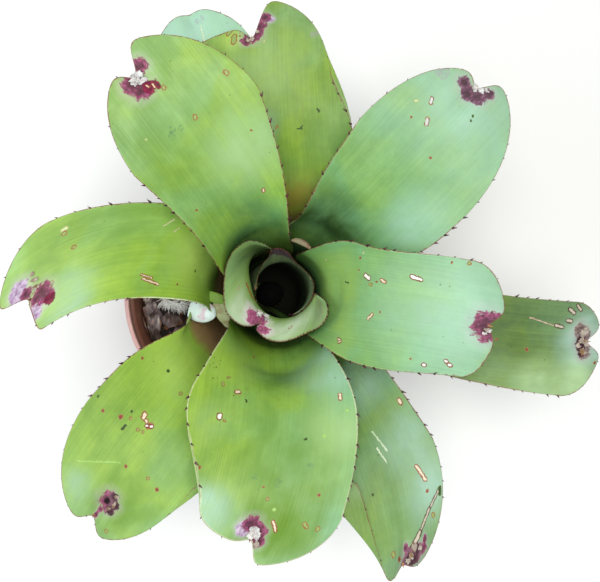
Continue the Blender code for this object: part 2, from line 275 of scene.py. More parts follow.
def newMaterial(name, roughness):
    material = bpy.data.materials.new(name)
    material.use_nodes = True
    shader = material.node_tree.nodes["Principled BSDF"]
    shader.inputs["Roughness"].default_value = roughness
    return material, material.node_tree, shader


def coloured(tree, shader, colour):
    tree.links.new(colour, shader.inputs["Base Color"])


def bumped(tree, shader, height, distance, strength=1.0):
    made = tree.nodes.new("ShaderNodeBump")
    for name, value in (("Strength", strength), ("Distance", distance), ("Height", height)):
        feed(tree, made.inputs[name], value)
    tree.links.new(made.outputs[0], shader.inputs["Normal"])


# Shader groups that several materials share.

def makeVeinGroup():  # fine lines that run along a leaf
    group, given, result = newGroup("leafVeins", dict(Map=None, Pitch=1 * mm), ("Lines", "Streaks"))
    scaled = scaledBy(group, given["Map"], divided(group, 1.0, given["Pitch"]))
    lines = speckle(group, stretched(group, scaled, 1.0, 0.02), 0.8, 2.0)
    streaks = speckle(group, stretched(group, scaled, 0.22, 0.012), 1.0, 3.0)
    feed(group, result["Lines"], between(group, lines, 0.34, 0.66))
    feed(group, result["Streaks"], between(group, streaks, 0.3, 0.7))
    return group


def makeSpeckGroup():  # sparse round specks, a few of them large
    group, given, result = newGroup(
        "fineSpecks", dict(Map=None, Spacing=10 * mm, Size=0.6 * mm, Share=0.3), ("Mask",))
    cells = addNode(group, "ShaderNodeTexVoronoi", given["Map"])
    feed(group, cells.inputs["Scale"], divided(group, 1.0, given["Spacing"]))
    draw = addNode(group, "ShaderNodeSeparateColor", cells.outputs["Color"]).outputs
    chosen = maths(group, "LESS_THAN", draw[0], given["Share"])
    reach = divided(group, given["Size"], given["Spacing"])
    reach = times(group, reach, between(group, draw[1], 0, 1, 0.5, 1.5, "LINEAR"))
    inside = between(group, divided(group, cells.outputs["Distance"], reach), 1.15, 0.7)
    feed(group, result["Mask"], times(group, chosen, inside))
    return group


def makeScarGroup():  # one healed hole or scratch: its core and its dry rim
    group, given, result = newGroup(
        "leafScar", dict(Map=None, Place=None, Length=4 * mm, Width=2 * mm, Turn=0.0, Rim=0.8 * mm),
        ("Core", "Rim"))
    turned = addNode(group, "ShaderNodeVectorRotate", rotation_type="Z_AXIS")
    feed(group, turned.inputs["Vector"], vectorMath(group, "SUBTRACT", given["Map"], given["Place"]))
    feed(group, turned.inputs["Angle"], given["Turn"])
    place = xyz(group, turned.outputs[0])
    halfLength = times(group, given["Length"], 0.5)
    halfWidth = times(group, given["Width"], 0.5)
    straight = minus(group, halfLength, halfWidth)
    along = maths(group, "MAXIMUM", minus(group, maths(group, "ABSOLUTE", place[1]), straight), 0.0)
    past = minus(group, flatLength(group, along, place[0]), halfWidth)
    shrunk = maths(group, "MULTIPLY_ADD", halfWidth, 0.22, past)
    feed(group, result["Core"], between(group, shrunk, 0.2 * mm, -0.2 * mm))
    feed(group, result["Rim"], between(group, divided(group, past, given["Rim"]), 1.2, 0.6))
    return group


def makeBlobGroup():  # how far a spot is from one stain's middle, as a share of its reach
    group, given, result = newGroup(
        "stainBlob", dict(Map=None, Place=None, Reach=7 * mm, Stretch=1.0), ("Near",))
    place = xyz(group, vectorMath(group, "SUBTRACT", given["Map"], given["Place"]))
    away = flatLength(group, divided(group, place[0], given["Stretch"]), place[1])
    feed(group, result["Near"], divided(group, away, given["Reach"]))
    return group


def makeTipGroup():  # the purple stain round the notch, its dark grain and its pale halo
    group, given, result = newGroup("tipStain", dict(Map=None, Near=1.0), ("Stain", "Grain", "Heart", "Halo"))
    broad = speckle(group, given["Map"], 260, 3.0, 0.6)
    streaks = speckle(group, stretched(group, given["Map"], 1.0, 0.25), 1500, 3.0, 0.6)
    rough = plus(group, times(group, broad, 1.3), times(group, streaks, 0.7))
    edge = plus(group, given["Near"], minus(group, rough, 1.0))
    grain = speckle(group, stretched(group, given["Map"], 1.0, 0.45), 900, 4.0, 0.7)
    grain = plus(group, grain, times(group, edge, -0.1))
    soft = maths(group, "MULTIPLY_ADD", minus(group, broad, 0.5), 0.9, given["Near"])
    feed(group, result["Stain"], between(group, edge, 1.1, 0.86))
    feed(group, result["Grain"], between(group, grain, 0.42, 0.56))
    feed(group, result["Heart"], between(group, edge, 0.85, 0.2))
    feed(group, result["Halo"], between(group, soft, 2.0, 0.9))
    return group


def makePatchGroup():  # slow changes of tone over a surface
    group, given, result = newGroup("patchyTone", dict(Vector=None, Scale=20.0), ("Broad", "Fine"))
    broad = speckle(group, given["Vector"], given["Scale"], 3.0, 0.5, 0.3)
    fine = speckle(group, given["Vector"], times(group, given["Scale"], 9.0), 4.0, 0.6)
    feed(group, result["Broad"], between(group, broad, 0.3, 0.7))
    feed(group, result["Fine"], between(group, fine, 0.3, 0.7))
    return group


veinGroup = makeVeinGroup()
speckGroup = makeSpeckGroup()
scarGroup = makeScarGroup()
blobGroup = makeBlobGroup()
tipGroup = makeTipGroup()
patchGroup = makePatchGroup()
print("shader groups made")


# The plant: where it stands, and how all its leaves grow. Lengths in metres, angles in degrees.

plant = dict(
    foot=(13.5 * mm, 1.2 * mm, 107 * mm), lean=6.5,
    start=9.1 * mm, firstHeight=30 * mm, rankDrop=2.4 * mm, rankReach=2.8 * mm,
    footSlope=38.0, footBend=18 * mm, bladeBend=55 * mm, flattening=50 * mm,
    footWidth=10.5 * mm, sheathWidth=18.1 * mm, sheathWidening=2.75 * mm,
    widthPlaces=(0, 0.10, 0.22, 0.42, 0.66), notchWidth=6 * mm,
    rows=150, columns=76, midrib=1.15 * mm, margin=0.42 * mm, rimBulge=0.12 * mm,
    cup=3.2 * mm, ripple=0.9 * mm, rippleLength=9.5 * mm,
    swell=0.8 * mm, swellLength=31 * mm, swellWidth=17 * mm,
    lobeRise=1.6 * mm, lobePlace=(9 * mm, 7 * mm), lobeSize=(6 * mm, 11 * mm),
    pinchPlace=4 * mm, pinchSize=(3.5 * mm, 9 * mm),
)
plantPlace = Matrix.Translation(plant["foot"]) @ Matrix.Rotation(math.radians(plant["lean"]), 4, "Y")

# What a leaf's own entry may leave out.
leafDefaults = dict(sweep=0, shoulderAt=0.92, opening=1, trough=0, lean=0, mauve=0, brown=None, rimLine=0.12,
                    patches=(), stains={}, marks={})
# One entry a leaf, from the inside out. Lengths in mm, angles in degrees; pairs are (left, right) seen from
# the stem. slopes: sheath, blade, tip. tint: 0 yellow green, 1 blue green, the blue green partly painted
# sheen. brown: (share of the length, bare margin). A patch is (across, along, reach, share, colour); dark and
# blue patches are painted shade. Stains are listed by hue, each (across, along, reach, stretch), and marks by
# kind, each (across, along, length, width, turn).
leafRows = [
    dict(rank=1, turn=100, length=114, sheath=75, slopes=(89, 75, 40), neck=(14, 30), widest=(16, 42),
         shoulder=(18, 44), lobes=(0, 0), notch=0, shoulderAt=0.86, opening=0, tint=0.6, bloomAndSheen=0.1,
         tone=0.6, mauve=0.45, rimLine=0.1,
         patches=[(0, 108, 12, 0.5, "wine")],
         stains=dict(dusk=((0, 110, 8, 1.9),)),
         marks=dict(pale=((9, 79, 2.4, 1, 40), (11.5, 80, 2.4, 0.9, 60), (23.5, 102, 2.8, 1.1, 10)))),
    dict(rank=2, turn=232, length=116, sheath=70, slopes=(88, 50, 20), neck=(34, 34), widest=(41, 38),
         shoulder=(48, 48), lobes=(1, 8), notch=2, opening=0, tint=0.15, bloomAndSheen=0.2, tone=1.04, mauve=0.06,
         rimLine=0.15,
         patches=[(-20, 110, 20, 0.8, "pale"), (16, 115, 18, 0.75, "pale"), (-3, 108, 12, 0.6, "pale"),
                  (-46, 114, 16, 0.55, "wine"), (52, 92, 30, 0.8, "dark"), (54, 112, 22, 0.8, "dark")],
         stains=dict(pink=((5.3, 106.5, 5.4, 1.1), (-0.6, 104.5, 4.6, 1), (-6.1, 112.4, 4.4, 1),
                           (3.6, 112.6, 4.4, 1.3), (-2, 108, 2.4, 1.2))),
         marks=dict(cream=((-20, 107.5, 1.9, 1.8, 0), (26, 112, 1.6, 1.2, 0)),
                    crease=((-7, 103, 6, 0.9, 5),), scratch=((16, 98, 18, 0.8, 58),))),
    dict(rank=3, turn=353.5, length=203.5, sheath=60, slopes=(86, 48, -4), sweep=-2.5, neck=(35.5, 26),
         widest=(31.5, 33.5), shoulder=(32, 29.5), lobes=(5.5, 1.5), notch=2, trough=7, tint=0.9,
         bloomAndSheen=0.15, tone=0.93,
         patches=[(-6, 186, 34, 0.25, "mint"), (0, 160, 50, 0.3, "mint"), (-6, 100, 36, 0.5, "lime"),
                  (20, 112, 26, 0.3, "lime")],
         stains=dict(purple=((0.8, 199.4, 8.4, 1), (-3, 203, 4.4, 1))),
         marks=dict(pale=((-28, 124, 1.4, 1.1, 0), (-24, 92, 1, 1, 0)),
                    scar=((-14, 140, 4, 1.4, 19), (6, 134, 4.6, 1.2, -43), (21, 111, 3.4, 1.2, 13),
                          (22.4, 112, 3.2, 1.1, 145)),
                    dot=((-29, 176, 1, 1, 0), (25, 161, 0.9, 0.9, 0), (-13, 136, 1.2, 1, 0),
                         (-18, 122, 1.2, 1, 0), (-25, 122, 1.6, 1.2, 0), (3, 140, 0.8, 0.8, 0)),
                    dark=((-10, 109, 5, 0.5, 3),),
                    white=((-18, 159, 7, 1.9, 12), (27, 169, 2.2, 1.8, 15), (23, 180.5, 2.2, 1.7, 15),
                           (24.6, 182.6, 2.4, 1.6, 15), (-15, 129, 5.4, 2.2, 22)),
                    ring=((-30, 185, 1.8, 1.6, 0), (-11, 132, 2.2, 1.3, -10)))),
    dict(rank=4, turn=125, length=235.5, sheath=57, slopes=(84, 45, -6), sweep=1.5, neck=(24, 24),
         widest=(25, 38.5), shoulder=(31, 47), lobes=(0.5, 10.5), notch=6.5, shoulderAt=0.8, trough=9,
         tint=0.26, lean=-2, bloomAndSheen=0.04, tone=0.92,
         patches=[(26, 165, 34, 0.6, "sage"), (0, 210, 44, 0.4, "moss"), (-20, 190, 30, 0.3, "moss"),
                  (10, 116, 44, 0.45, "blue"), (10, 98, 34, 0.5, "dark"), (8, 128, 18, 0.4, "dark")],
         stains=dict(purple=((4.7, 231.6, 4.6, 1), (-4, 226, 5, 1.1), (-1.5, 221.5, 5.2, 1.2)),
                     crimson=((3, 220, 3.6, 1.1), (6.2, 218.6, 2.2, 0.7))),
         marks=dict(pale=((-15, 200, 0.9, 0.9, 0),),
                    scar=((2.2, 221, 2.4, 0.8, -15), (4.6, 219.4, 2.6, 0.8, -8), (21, 139, 2.4, 1.2, 10)),
                    dot=((32, 173, 0.9, 0.9, 0), (-15, 153, 1.2, 1, 0)),
                    ring=((38, 204, 3, 2, 0), (12, 195, 2.6, 1.9, 20), (8, 216, 2, 1.7, 0)),
                    grey=((-3, 194, 3, 2.2, 30), (-1, 196.5, 2.4, 1.8, 0), (3, 195, 2, 1.4, 40)))),
    dict(rank=5, turn=270, length=211.5, sheath=54, slopes=(82, 41, -9), sweep=-9.5, neck=(27, 40),
         widest=(40, 52.5), shoulder=(42.5, 33), lobes=(16, 3.5), notch=-1.5, trough=12, tint=0.35,
         lean=-9, bloomAndSheen=0.06, tone=0.95, rimLine=0.6,
         patches=[(28, 201, 24, 0.75, "mint"), (-30, 150, 28, 0.55, "sage"), (40, 148, 22, 0.2, "sage"),
                  (-26, 110, 32, 0.6, "mint"), (30, 105, 30, 0.35, "lime"), (-10, 190, 46, 1, "moss"),
                  (-8, 200, 30, 0.6, "moss"), (-16, 206, 22, 0.4, "moss"), (2, 160, 34, 0.35, "moss"),
                  (27, 172, 20, 0.6, "moss"), (0, 66, 20, 0.4, "dark"), (0, 112, 16, 0.15, "dark")],
         stains=dict(purple=((3, 203.6, 4.7, 1.1), (-2, 207, 4.4, 1), (-3.8, 212.6, 4.2, 0.9)),
                     lilac=((5.6, 208, 3.2, 1), (6.8, 205.4, 3.4, 1)), dusk=((-3.4, 214, 2.6, 0.8),)),
         marks=dict(scar=((-9, 203, 6.4, 1.2, -33), (25, 129, 3.4, 2.4, -100), (-31, 132, 3.8, 1.6, -4)),
                    freckle=((41, 108, 6, 3.4, 20), (39, 121, 4, 2.4, 60), (27, 132, 4, 2, 80)),
                    dot=((3, 184, 1, 1, 0), (-27, 185, 1.5, 1.2, 0), (15, 88, 1.2, 1, 0),
                         (39, 176, 1.8, 1.4, 0)), dark=((-14, 157, 2, 1.2, 60), (20, 135, 2.4, 1, -16)),
                    white=((34, 146, 4, 2.6, -6),),
                    ring=((-25, 201, 4, 1.5, -51), (-32, 202, 2.2, 1.8, 0), (-1, 190, 1.6, 1.2, 0),
                          (31, 118, 2.6, 1.3, -142), (34, 124, 3.2, 1.4, -8), (31, 148.6, 1.4, 1.2, 0)),
                    grey=((9, 179, 2, 1.6, 0), (-4, 181, 3.4, 2.8, 0), (-19, 171, 2.2, 1.8, 0)),
                    faint=((-6, 195, 1.3, 1.1, 0), (-35, 140, 1.4, 1, 0), (-24, 155, 1.4, 0.8, 0)))),
    dict(rank=6, turn=49, length=225, sheath=51, slopes=(80, 38, -11), sweep=-1, neck=(24, 26),
         widest=(32, 42), shoulder=(35, 43.5), lobes=(10, 17), notch=-4, shoulderAt=0.76, trough=8,
         tint=0.72, bloomAndSheen=0.3, tone=0.9,
         patches=[(0, 214, 30, 0.3, "mint"), (30, 150, 30, 0.5, "mint"), (-8, 108, 40, 0.75, "dark"),
                  (10, 170, 40, 0.15, "blue")],
         stains=dict(plum=((-6.6, 225, 4.4, 0.9), (-1.1, 222.6, 4.6, 1), (4.5, 224.4, 4.6, 1),
                           (7.4, 230.4, 3.6, 1))),
         marks=dict(hole=((-13, 205, 4.4, 1.7, 153), (-7, 195, 5, 1.9, 147)),
                    pale=((-19, 199, 2.4, 1.2, 38),), dot=((-15, 191, 1.1, 1, 0), (8, 182, 1.3, 1.2, 0)),
                    dark=((9, 214, 1.6, 1, -40), (10, 211.6, 1.3, 0.9, -40)),
                    lilac=((-19, 221, 7, 5, 0),))),
    dict(rank=7, turn=153.5, length=215, sheath=48, slopes=(78, 35, -14), sweep=30.5, neck=(27, 32.5),
         widest=(25, 29), shoulder=(21.5, 34), lobes=(-10, 9), notch=8, trough=6, tint=0.02, lean=3,
         bloomAndSheen=0.08, tone=1.02, brown=(0.3, 4), rimLine=0.15,
         patches=[(-14, 185, 22, 0.4, "mint"), (22, 165, 28, 0.45, "moss"), (22, 192, 22, 0.8, "moss"),
                  (-30, 54, 26, 1, "beige"), (-6, 72, 24, 0.9, "dark"), (6, 104, 40, 1, "lime"),
                  (6, 100, 22, 0.5, "lime")],
         stains=dict(lilac=((8.5, 211.4, 5.2, 1), (-8.6, 202.6, 4.4, 1)),
                     purple=((4.4, 208, 3, 1), (-1.6, 200.4, 5.6, 1), (-5.6, 197, 3.6, 1)),
                     crimson=((-7.4, 195.6, 3.2, 0.9),)),
         marks=dict(pale=((26, 190, 3, 2, 10), (18, 140, 6.4, 0.9, 138), (14, 134, 3.7, 0.7, 131)),
                    scar=((-16, 140, 12, 0.9, -161), (-13, 143, 8, 0.6, -162)),
                    dot=((-17, 121, 1.2, 1, 0),), dark=((-8, 105, 1.4, 1, 0),),
                    ring=((23.6, 190, 2.4, 1.8, 0), (14, 185, 2, 1.8, 0)))),
    dict(rank=8, turn=307.5, length=228.5, sheath=44, slopes=(77, 31, -16), sweep=-14, neck=(24, 30),
         widest=(25.5, 39), shoulder=(29.5, 20), lobes=(7, 13.5), notch=-1, shoulderAt=0.76, trough=7,
         tint=0.5, lean=-4, bloomAndSheen=0.1, tone=0.64, brown=(0.36, 0),
         patches=[(-22, 196, 26, 0.55, "mint"), (-16, 165, 26, 0.45, "mint"), (8, 205, 26, 0.4, "moss"),
                  (-8, 122, 34, 0.5, "mint")],
         stains=dict(purple=((-5.5, 225, 5.4, 1), (-9.6, 223, 3.8, 1), (-1.5, 228, 3.6, 0.8),
                             (-1.5, 219.7, 3, 0.5), (-12.5, 219, 2.6, 0.5)),
                     umber=((-5, 227, 4.4, 0.9), (-7.4, 221.4, 3, 0.6))),
         marks=dict(scar=((-21, 148, 3.6, 1.6, -7), (-17, 186, 10.4, 1.5, -18)),
                    crack=((-20.5, 202, 11, 0.9, 45), (-13.8, 209.4, 12, 1.2, 38),
                           (-7.6, 217, 9, 2.2, 39)),
                    dot=((-18, 196, 1.2, 1.2, 0), (3, 224, 3.2, 1.6, -20)),
                    dark=((13, 183, 1.4, 1.2, 0), (-25, 199, 5, 1.6, 10)),
                    ring=((-19, 209, 2.6, 1.2, -8), (7, 219, 3.4, 1.6, -10)),
                    crease=((1, 167, 10, 0.6, -13), (-1, 160, 14, 0.45, -15)))),
    dict(rank=9, turn=102, length=208, sheath=41, slopes=(75, 28, -19), sweep=-5, neck=(35.5, 35.5),
         widest=(50, 54.5), shoulder=(48.5, 44), lobes=(1, 21), notch=4.5, shoulderAt=0.84, trough=5,
         tint=0.1, bloomAndSheen=0, tone=0.78, brown=(0.385, 0), rimLine=0.1,
         patches=[(20, 98, 32, 0.9, "olive"), (-11, 203, 10, 0.6, "lime"), (0, 150, 18, 0.5, "mint"),
                  (10, 188, 34, 0.35, "sage"), (24, 146, 36, 0.3, "moss")],
         stains=dict(purple=((7.3, 214.5, 3.4, 1), (4.7, 208.6, 4, 0.9), (0.8, 204, 4.4, 1.2),
                             (-3.7, 200.8, 2.8, 1.1)), lilac=((10.6, 212.7, 2.2, 1),)),
         marks=dict(pale=((7, 199, 1.3, 1, 0),), freckle=((-9, 202, 6, 4, 20),),
                    dark=((25, 147, 3.4, 0.6, 91), (26, 148, 2.2, 0.6, 40), (36, 156, 3, 0.6, 150)),
                    ring=((12, 150, 1.5, 1.2, 0), (-10, 202, 6, 2.6, 10), (-12.6, 207, 5, 2, 30)),
                    lilac=((36, 201, 3, 2, 0),))),
    dict(rank=10, turn=223.5, length=213.5, sheath=38, slopes=(73, 25, -21), sweep=5.5, neck=(28.5, 26.5),
         widest=(44.5, 37.5), shoulder=(37.5, 39), lobes=(14.5, 13), notch=-4, shoulderAt=0.78, trough=6,
         tint=0.1, lean=-4, bloomAndSheen=0.06, tone=0.96, brown=(0.4, 0),
         patches=[(16, 208, 16, 0.4, "mint"), (8, 114, 40, 0.6, "lime"), (34, 165, 32, 0.8, "moss"),
                  (-30, 155, 30, 0.6, "moss"), (-6, 200, 34, 0.6, "moss")],
         stains=dict(purple=((-3.3, 203.5, 5.9, 1), (-1.6, 211, 2.4, 0.7), (-1.2, 215, 2.2, 0.6)),
                     umber=((-4.8, 199.4, 2.4, 1), (-7.6, 202.6, 2.4, 1), (-7.4, 207.2, 2.2, 1))),
         marks=dict(scar=((9, 155, 4.2, 2.4, -20), (6, 156.4, 2.6, 1.8, -50)),
                    dot=((3.2, 157, 4.8, 3.4, 40), (19, 164, 2.6, 2.2, 0), (29, 168, 1.6, 1.3, 0),
                         (0, 182, 1.8, 1.6, 0), (-22, 180, 2.2, 2, 0), (31, 133, 1.8, 1.4, 0)),
                    dark=((16, 158, 1.5, 1, 0), (14, 167, 4, 1.3, -178), (15, 127, 2, 1.6, 0),
                          (36, 164, 1.4, 1, 0)),
                    white=((4.4, 157.8, 2, 1.3, 20), (2, 156.4, 2.2, 1.4, 40)),
                    ring=((7, 163, 1.8, 1.4, 0), (4, 162, 1.5, 1.2, 0), (14, 161, 1.4, 1.2, 0),
                          (-14, 179, 1.8, 1.3, 30), (-11, 219, 2, 1.7, 0), (1, 131, 2, 1.4, 30)),
                    black=((-2.4, 204, 3.6, 2.6, 20),), faint=((14, 190, 25, 0.35, -126),))),
    dict(rank=11, turn=347, length=240, sheath=35, slopes=(71, 21, -24), sweep=4.5, neck=(30, 24),
         widest=(25, 27.5), shoulder=(24, 32.5), lobes=(3.5, 7), notch=4, trough=5, tint=0.25, bloomAndSheen=0.1,
         tone=0.44, brown=(0.36, 0),
         patches=[(0, 232, 26, 1, "mint"), (4, 238, 18, 0.6, "mint"), (28, 206, 26, 1, "sage"),
                  (24, 230, 22, 1, "sage"), (24, 180, 22, 0.3, "sage"), (-6, 170, 40, 0.3, "dark")],
         stains=dict(brown=((-7, 226.5, 4.4, 1), (0.4, 232, 6, 1.1), (6.1, 231.6, 4.4, 1)),
                     umber=((1, 229.6, 4.2, 1.4), (6, 230, 3, 1))),
         marks=dict(cream=((-11, 201, 18.4, 0.3, 13),),
                    crack=((-9, 212, 6.4, 1.7, 11), (-18.4, 218.6, 6.4, 2, 30),
                           (-20.5, 223.5, 6, 1.6, 40), (-12.5, 218, 4.4, 2, 10)),
                    dot=((2, 175, 1.2, 1, 0), (6, 194, 2.2, 1.2, 40), (13, 242, 2.4, 1.6, 0)))),
    dict(rank=12, turn=109, length=217, sheath=32, slopes=(69, 18, -26), sweep=-1, neck=(34, 36),
         widest=(38, 42), shoulder=(28, 30), lobes=(0.6, 0.6), notch=0, shoulderAt=0.84, trough=4,
         tint=0.9, bloomAndSheen=0.4, tone=1.18, brown=(0.36, 0),
         patches=[(0, 200, 40, 0.5, "mint")],
         marks=dict(crease=((4, 201, 10.8, 0.4, 5),), lilac=((5, 210, 2.6, 2.4, 0),))),
]
leaves = [leafDefaults | row for row in leafRows]


# The two inner leaves are rolled round the tank. Rings: (share of the way up, height, radius, spread);
# rim: points of the free margin, clockwise from above, in mm.
tank = dict(low=(18.4 * mm, 1.2 * mm, 150 * mm), mouth=(27.5 * mm, 5.6 * mm, 215 * mm))
rolledLeaves = {
    1: dict(tip=7.4, swell=0.0, belly=(0, 1, 0),
            rings=((0, 134, 9.6, 0.35), (0.1, 142, 16.5, 0.6), (0.22, 154, 19.5, 0.85), (0.42, 174, 19, 0.95),
                   (0.62, 191, 17.4, 1.0), (0.78, 203, 16.4, 1.0)),
            rim=((10.5, 4.5, 203), (11.0, 9.1, 208), (12.4, 14.3, 213), (14.9, 19.1, 218), (17.8, 22.1, 221),
                 (19.4, 25.4, 225), (21.4, 27.3, 228), (25.4, 27.2, 229), (29.9, 24.7, 228), (32.1, 21.4, 225),
                 (35.5, 17.8, 222), (41.0, 13.0, 219), (43.8, 8.5, 216), (44.1, 3.9, 213), (42.5, -1.9, 210),
                 (38.4, -7.2, 206), (33.2, -10.5, 202))),
    2: dict(tip=11.0, swell=3.0, belly=(128, 34, 8.5),
            rings=((0, 131, 10.2, 0.35), (0.1, 140, 18.6, 0.6), (0.22, 153, 22.5, 0.85), (0.4, 174, 22, 0.95),
                   (0.55, 193, 19.6, 1.0), (0.68, 206, 18.2, 1.0)),
            rim=((44.8, 2.1, 209), (50.5, -2.4, 217), (52.0, -8.0, 226), (50.7, -12.5, 229),
                 (47.3, -16.7, 230), (39.8, -20.5, 230), (32.0, -23.9, 229), (24.2, -25.4, 229),
                 (16.9, -23.6, 229), (12.2, -19.5, 230), (11.5, -17.5, 230), (12.9, -15.1, 230),
                 (10.6, -15.9, 231), (7.0, -16.6, 232), (2.2, -15.4, 233), (-3.2, -11.0, 235),
                 (-5.7, -6.7, 236), (-6.4, -0.0, 237), (-6.2, 6.6, 239), (-4.9, 16.4, 242),
                 (-2.6, 21.7, 244), (0.1, 26.0, 244), (7.0, 31.0, 241), (13.3, 30.8, 234),
                 (19.1, 28.0, 224), (21.1, 24.6, 216))),
}


# Leaf shape: a middle surface that wraps round the tank below and opens flat above.

def eased(x):
    x = np.clip(x, 0.0, 1.0)
    return x * x * (3 - 2 * x)


def throughPoints(xs, ys, x):  # a smooth curve through ys, whose first axis goes with xs
    xs, ys, x = np.array(xs, float), np.array(ys, float), np.array(x, float)
    slope = np.gradient(ys, xs, axis=0)
    i = np.clip(np.searchsorted(xs, x) - 1, 0, len(xs) - 2)
    wide = x.shape + (1,) * (ys.ndim - 1)
    gap = (xs[i + 1] - xs[i]).reshape(wide)
    t = ((x - xs[i]) / (xs[i + 1] - xs[i])).reshape(wide)
    rise = slope[i] * t * (1 - t) ** 2 - slope[i + 1] * t * t * (1 - t)
    return ys[i] * (1 + 2 * t) * (1 - t) ** 2 + ys[i + 1] * t * t * (3 - 2 * t) + gap * rise


def summedUp(values, x):
    return np.concatenate([[0], np.cumsum((values[1:] + values[:-1]) / 2 * np.diff(x))])


def sheathEnd(leaf):
    return plant["rankReach"] * (leaf["rank"] - 1) + plant["footBend"] + leaf["sheath"] * mm


def leafProfile(leaf):  # arc up the midrib, distance from the axis, height
    length = leaf["length"] * mm
    arc = np.linspace(0, length + 60 * mm, 500)
    side, blade, tip = leaf["slopes"]
    foot = plant["rankReach"] * (leaf["rank"] - 1)
    top = sheathEnd(leaf)
    arch = min(top + 0.6 * plant["bladeBend"], 0.8 * length)
    along = np.clip((arc - arch) / (length - arch), 0, 1.3)
    slope = plant["footSlope"] + (side - plant["footSlope"]) * eased((arc - foot) / plant["footBend"])
    slope = slope + (blade - side) * eased((arc - top) / plant["bladeBend"])
    slope = np.radians(slope + (tip - blade) * along ** 1.3)
    height = plant["firstHeight"] - plant["rankDrop"] * (leaf["rank"] - 1) + summedUp(np.sin(slope), arc)
    return arc, plant["start"] + summedUp(np.cos(slope), arc), height


def halfWidth(leaf, side, arc):
    sheath = plant["sheathWidth"] + plant["sheathWidening"] * (leaf["rank"] - 1)
    low = (plant["footWidth"], 0.55 * plant["footWidth"] + 0.45 * sheath, sheath)
    high = [leaf[part][side] * mm for part in ("neck", "widest", "shoulder")]
    places = (*plant["widthPlaces"], leaf["shoulderAt"])
    return throughPoints(places, (*low, *high), arc / (leaf["length"] * mm))


def leafChart(leaf, t, c):  # rows t and columns c to arc length and sideways offset
    atEnd = np.sign(c) * np.sin(np.pi / 2 * np.abs(c) ** 1.35)
    v = c + (atEnd - c) * t ** 2
    left = v < 0
    length = leaf["length"] * mm
    shoulder = leaf["shoulderAt"] * length
    lobe = np.where(left, leaf["lobes"][0], leaf["lobes"][1]) * mm
    corner = np.where(left, leaf["shoulder"][0], leaf["shoulder"][1]) * mm
    end = shoulder + (length + lobe - shoulder) * np.sqrt(np.clip(1 - v * v, 0, 1))
    end = end - (lobe + leaf["notch"] * mm) * np.exp(-(v * corner / plant["notchWidth"]) ** 2)
    edge = t * shoulder
    return t * end, v * np.where(left, halfWidth(leaf, 0, edge), halfWidth(leaf, 1, edge)), v


def leafPoint(leaf, arc, offset):
    profile = leafProfile(leaf)
    top = sheathEnd(leaf)
    radius = np.interp(arc, profile[0], profile[1])
    openUp = leaf["opening"] * eased((arc - 0.8 * top) / plant["flattening"])
    around = (1 - openUp) * offset / radius + openUp * np.arctan2(offset, radius)
    flatArc = np.interp(np.hypot(radius, offset), profile[1], profile[0])
    arcThere = arc + openUp * (flatArc - arc)
    radius = np.interp(arcThere, profile[0], profile[1])
    height = np.interp(arcThere, profile[0], profile[2])
    along = np.clip((arc - top) / (leaf["length"] * mm - top), 0, 1.2)
    angle = math.radians(leaf["turn"]) - around + math.radians(leaf["sweep"]) * along ** 1.5
    return np.stack([radius * np.cos(angle), radius * np.sin(angle), height], -1)


def leafNormal(leaf, arc, offset):  # towards the upper side of the blade
    step = 0.3 * mm
    up = leafPoint(leaf, arc + step, offset) - leafPoint(leaf, arc - step, offset)
    right = leafPoint(leaf, arc, offset + step) - leafPoint(leaf, arc, offset - step)
    normal = np.cross(right, up)
    return normal / np.maximum(np.linalg.norm(normal, axis=-1, keepdims=True), 1e-12)


def leafRelief(leaf, arc, offset, v):  # gentle cupping, ripples of the margin, lobes beside the notch
    top = sheathEnd(leaf)
    blade = eased((arc - top) / (40 * mm)) * leaf["opening"]
    end = leaf["length"] * mm - arc
    cup = plant["cup"] * (v ** 2 - 0.3) * blade * eased((end + 25 * mm) / (60 * mm))
    phase = leaf["rank"] * 1.7 + np.sign(offset) * 0.9
    ripple = plant["ripple"] * np.sin(arc / plant["rippleLength"] + phase) * np.abs(v) ** 5 * blade
    broad = plant["swell"] * np.sin(arc / plant["swellLength"] + leaf["rank"])
    broad = broad * np.sin(offset / plant["swellWidth"] + leaf["rank"]) * blade
    trough = leaf["trough"] * mm * (np.abs(v) ** 1.6 - 0.8) * eased((arc - 0.85 * top) / (30 * mm))
    trough = trough * eased((top + 75 * mm - arc) / (70 * mm)) * leaf["opening"]
    (aside, back), (wide, long) = plant["lobePlace"], plant["lobeSize"]
    lobes = np.exp(-((np.abs(offset) - aside) / wide) ** 2) * np.exp(-((end - back) / long) ** 2)
    wide, long = plant["pinchSize"]
    pinch = np.exp(-(offset / wide) ** 2) * np.exp(-((end - plant["pinchPlace"]) / long) ** 2)
    return cup + trough + ripple + broad + plant["lobeRise"] * (lobes - pinch) * leaf["opening"]


leafGrids = {}


def toMargin(chart):  # distance of each point of the chart from the leaf's outline
    rim = np.concatenate([chart[:, 0], chart[-1, 1:-1], chart[::-1, -1]])
    flat = chart.reshape(-1, 2)
    nearest = np.full(len(flat), 1.0)
    for point in rim:
        nearest = np.minimum(nearest, np.hypot(*(flat - point).T))
    return nearest.reshape(chart.shape[:2])


def across2d(values):  # running length along each row of a grid
    steps = np.linalg.norm(np.diff(values, axis=1), axis=-1)
    return np.concatenate([np.zeros((len(values), 1)), np.cumsum(steps, axis=1)], axis=1)


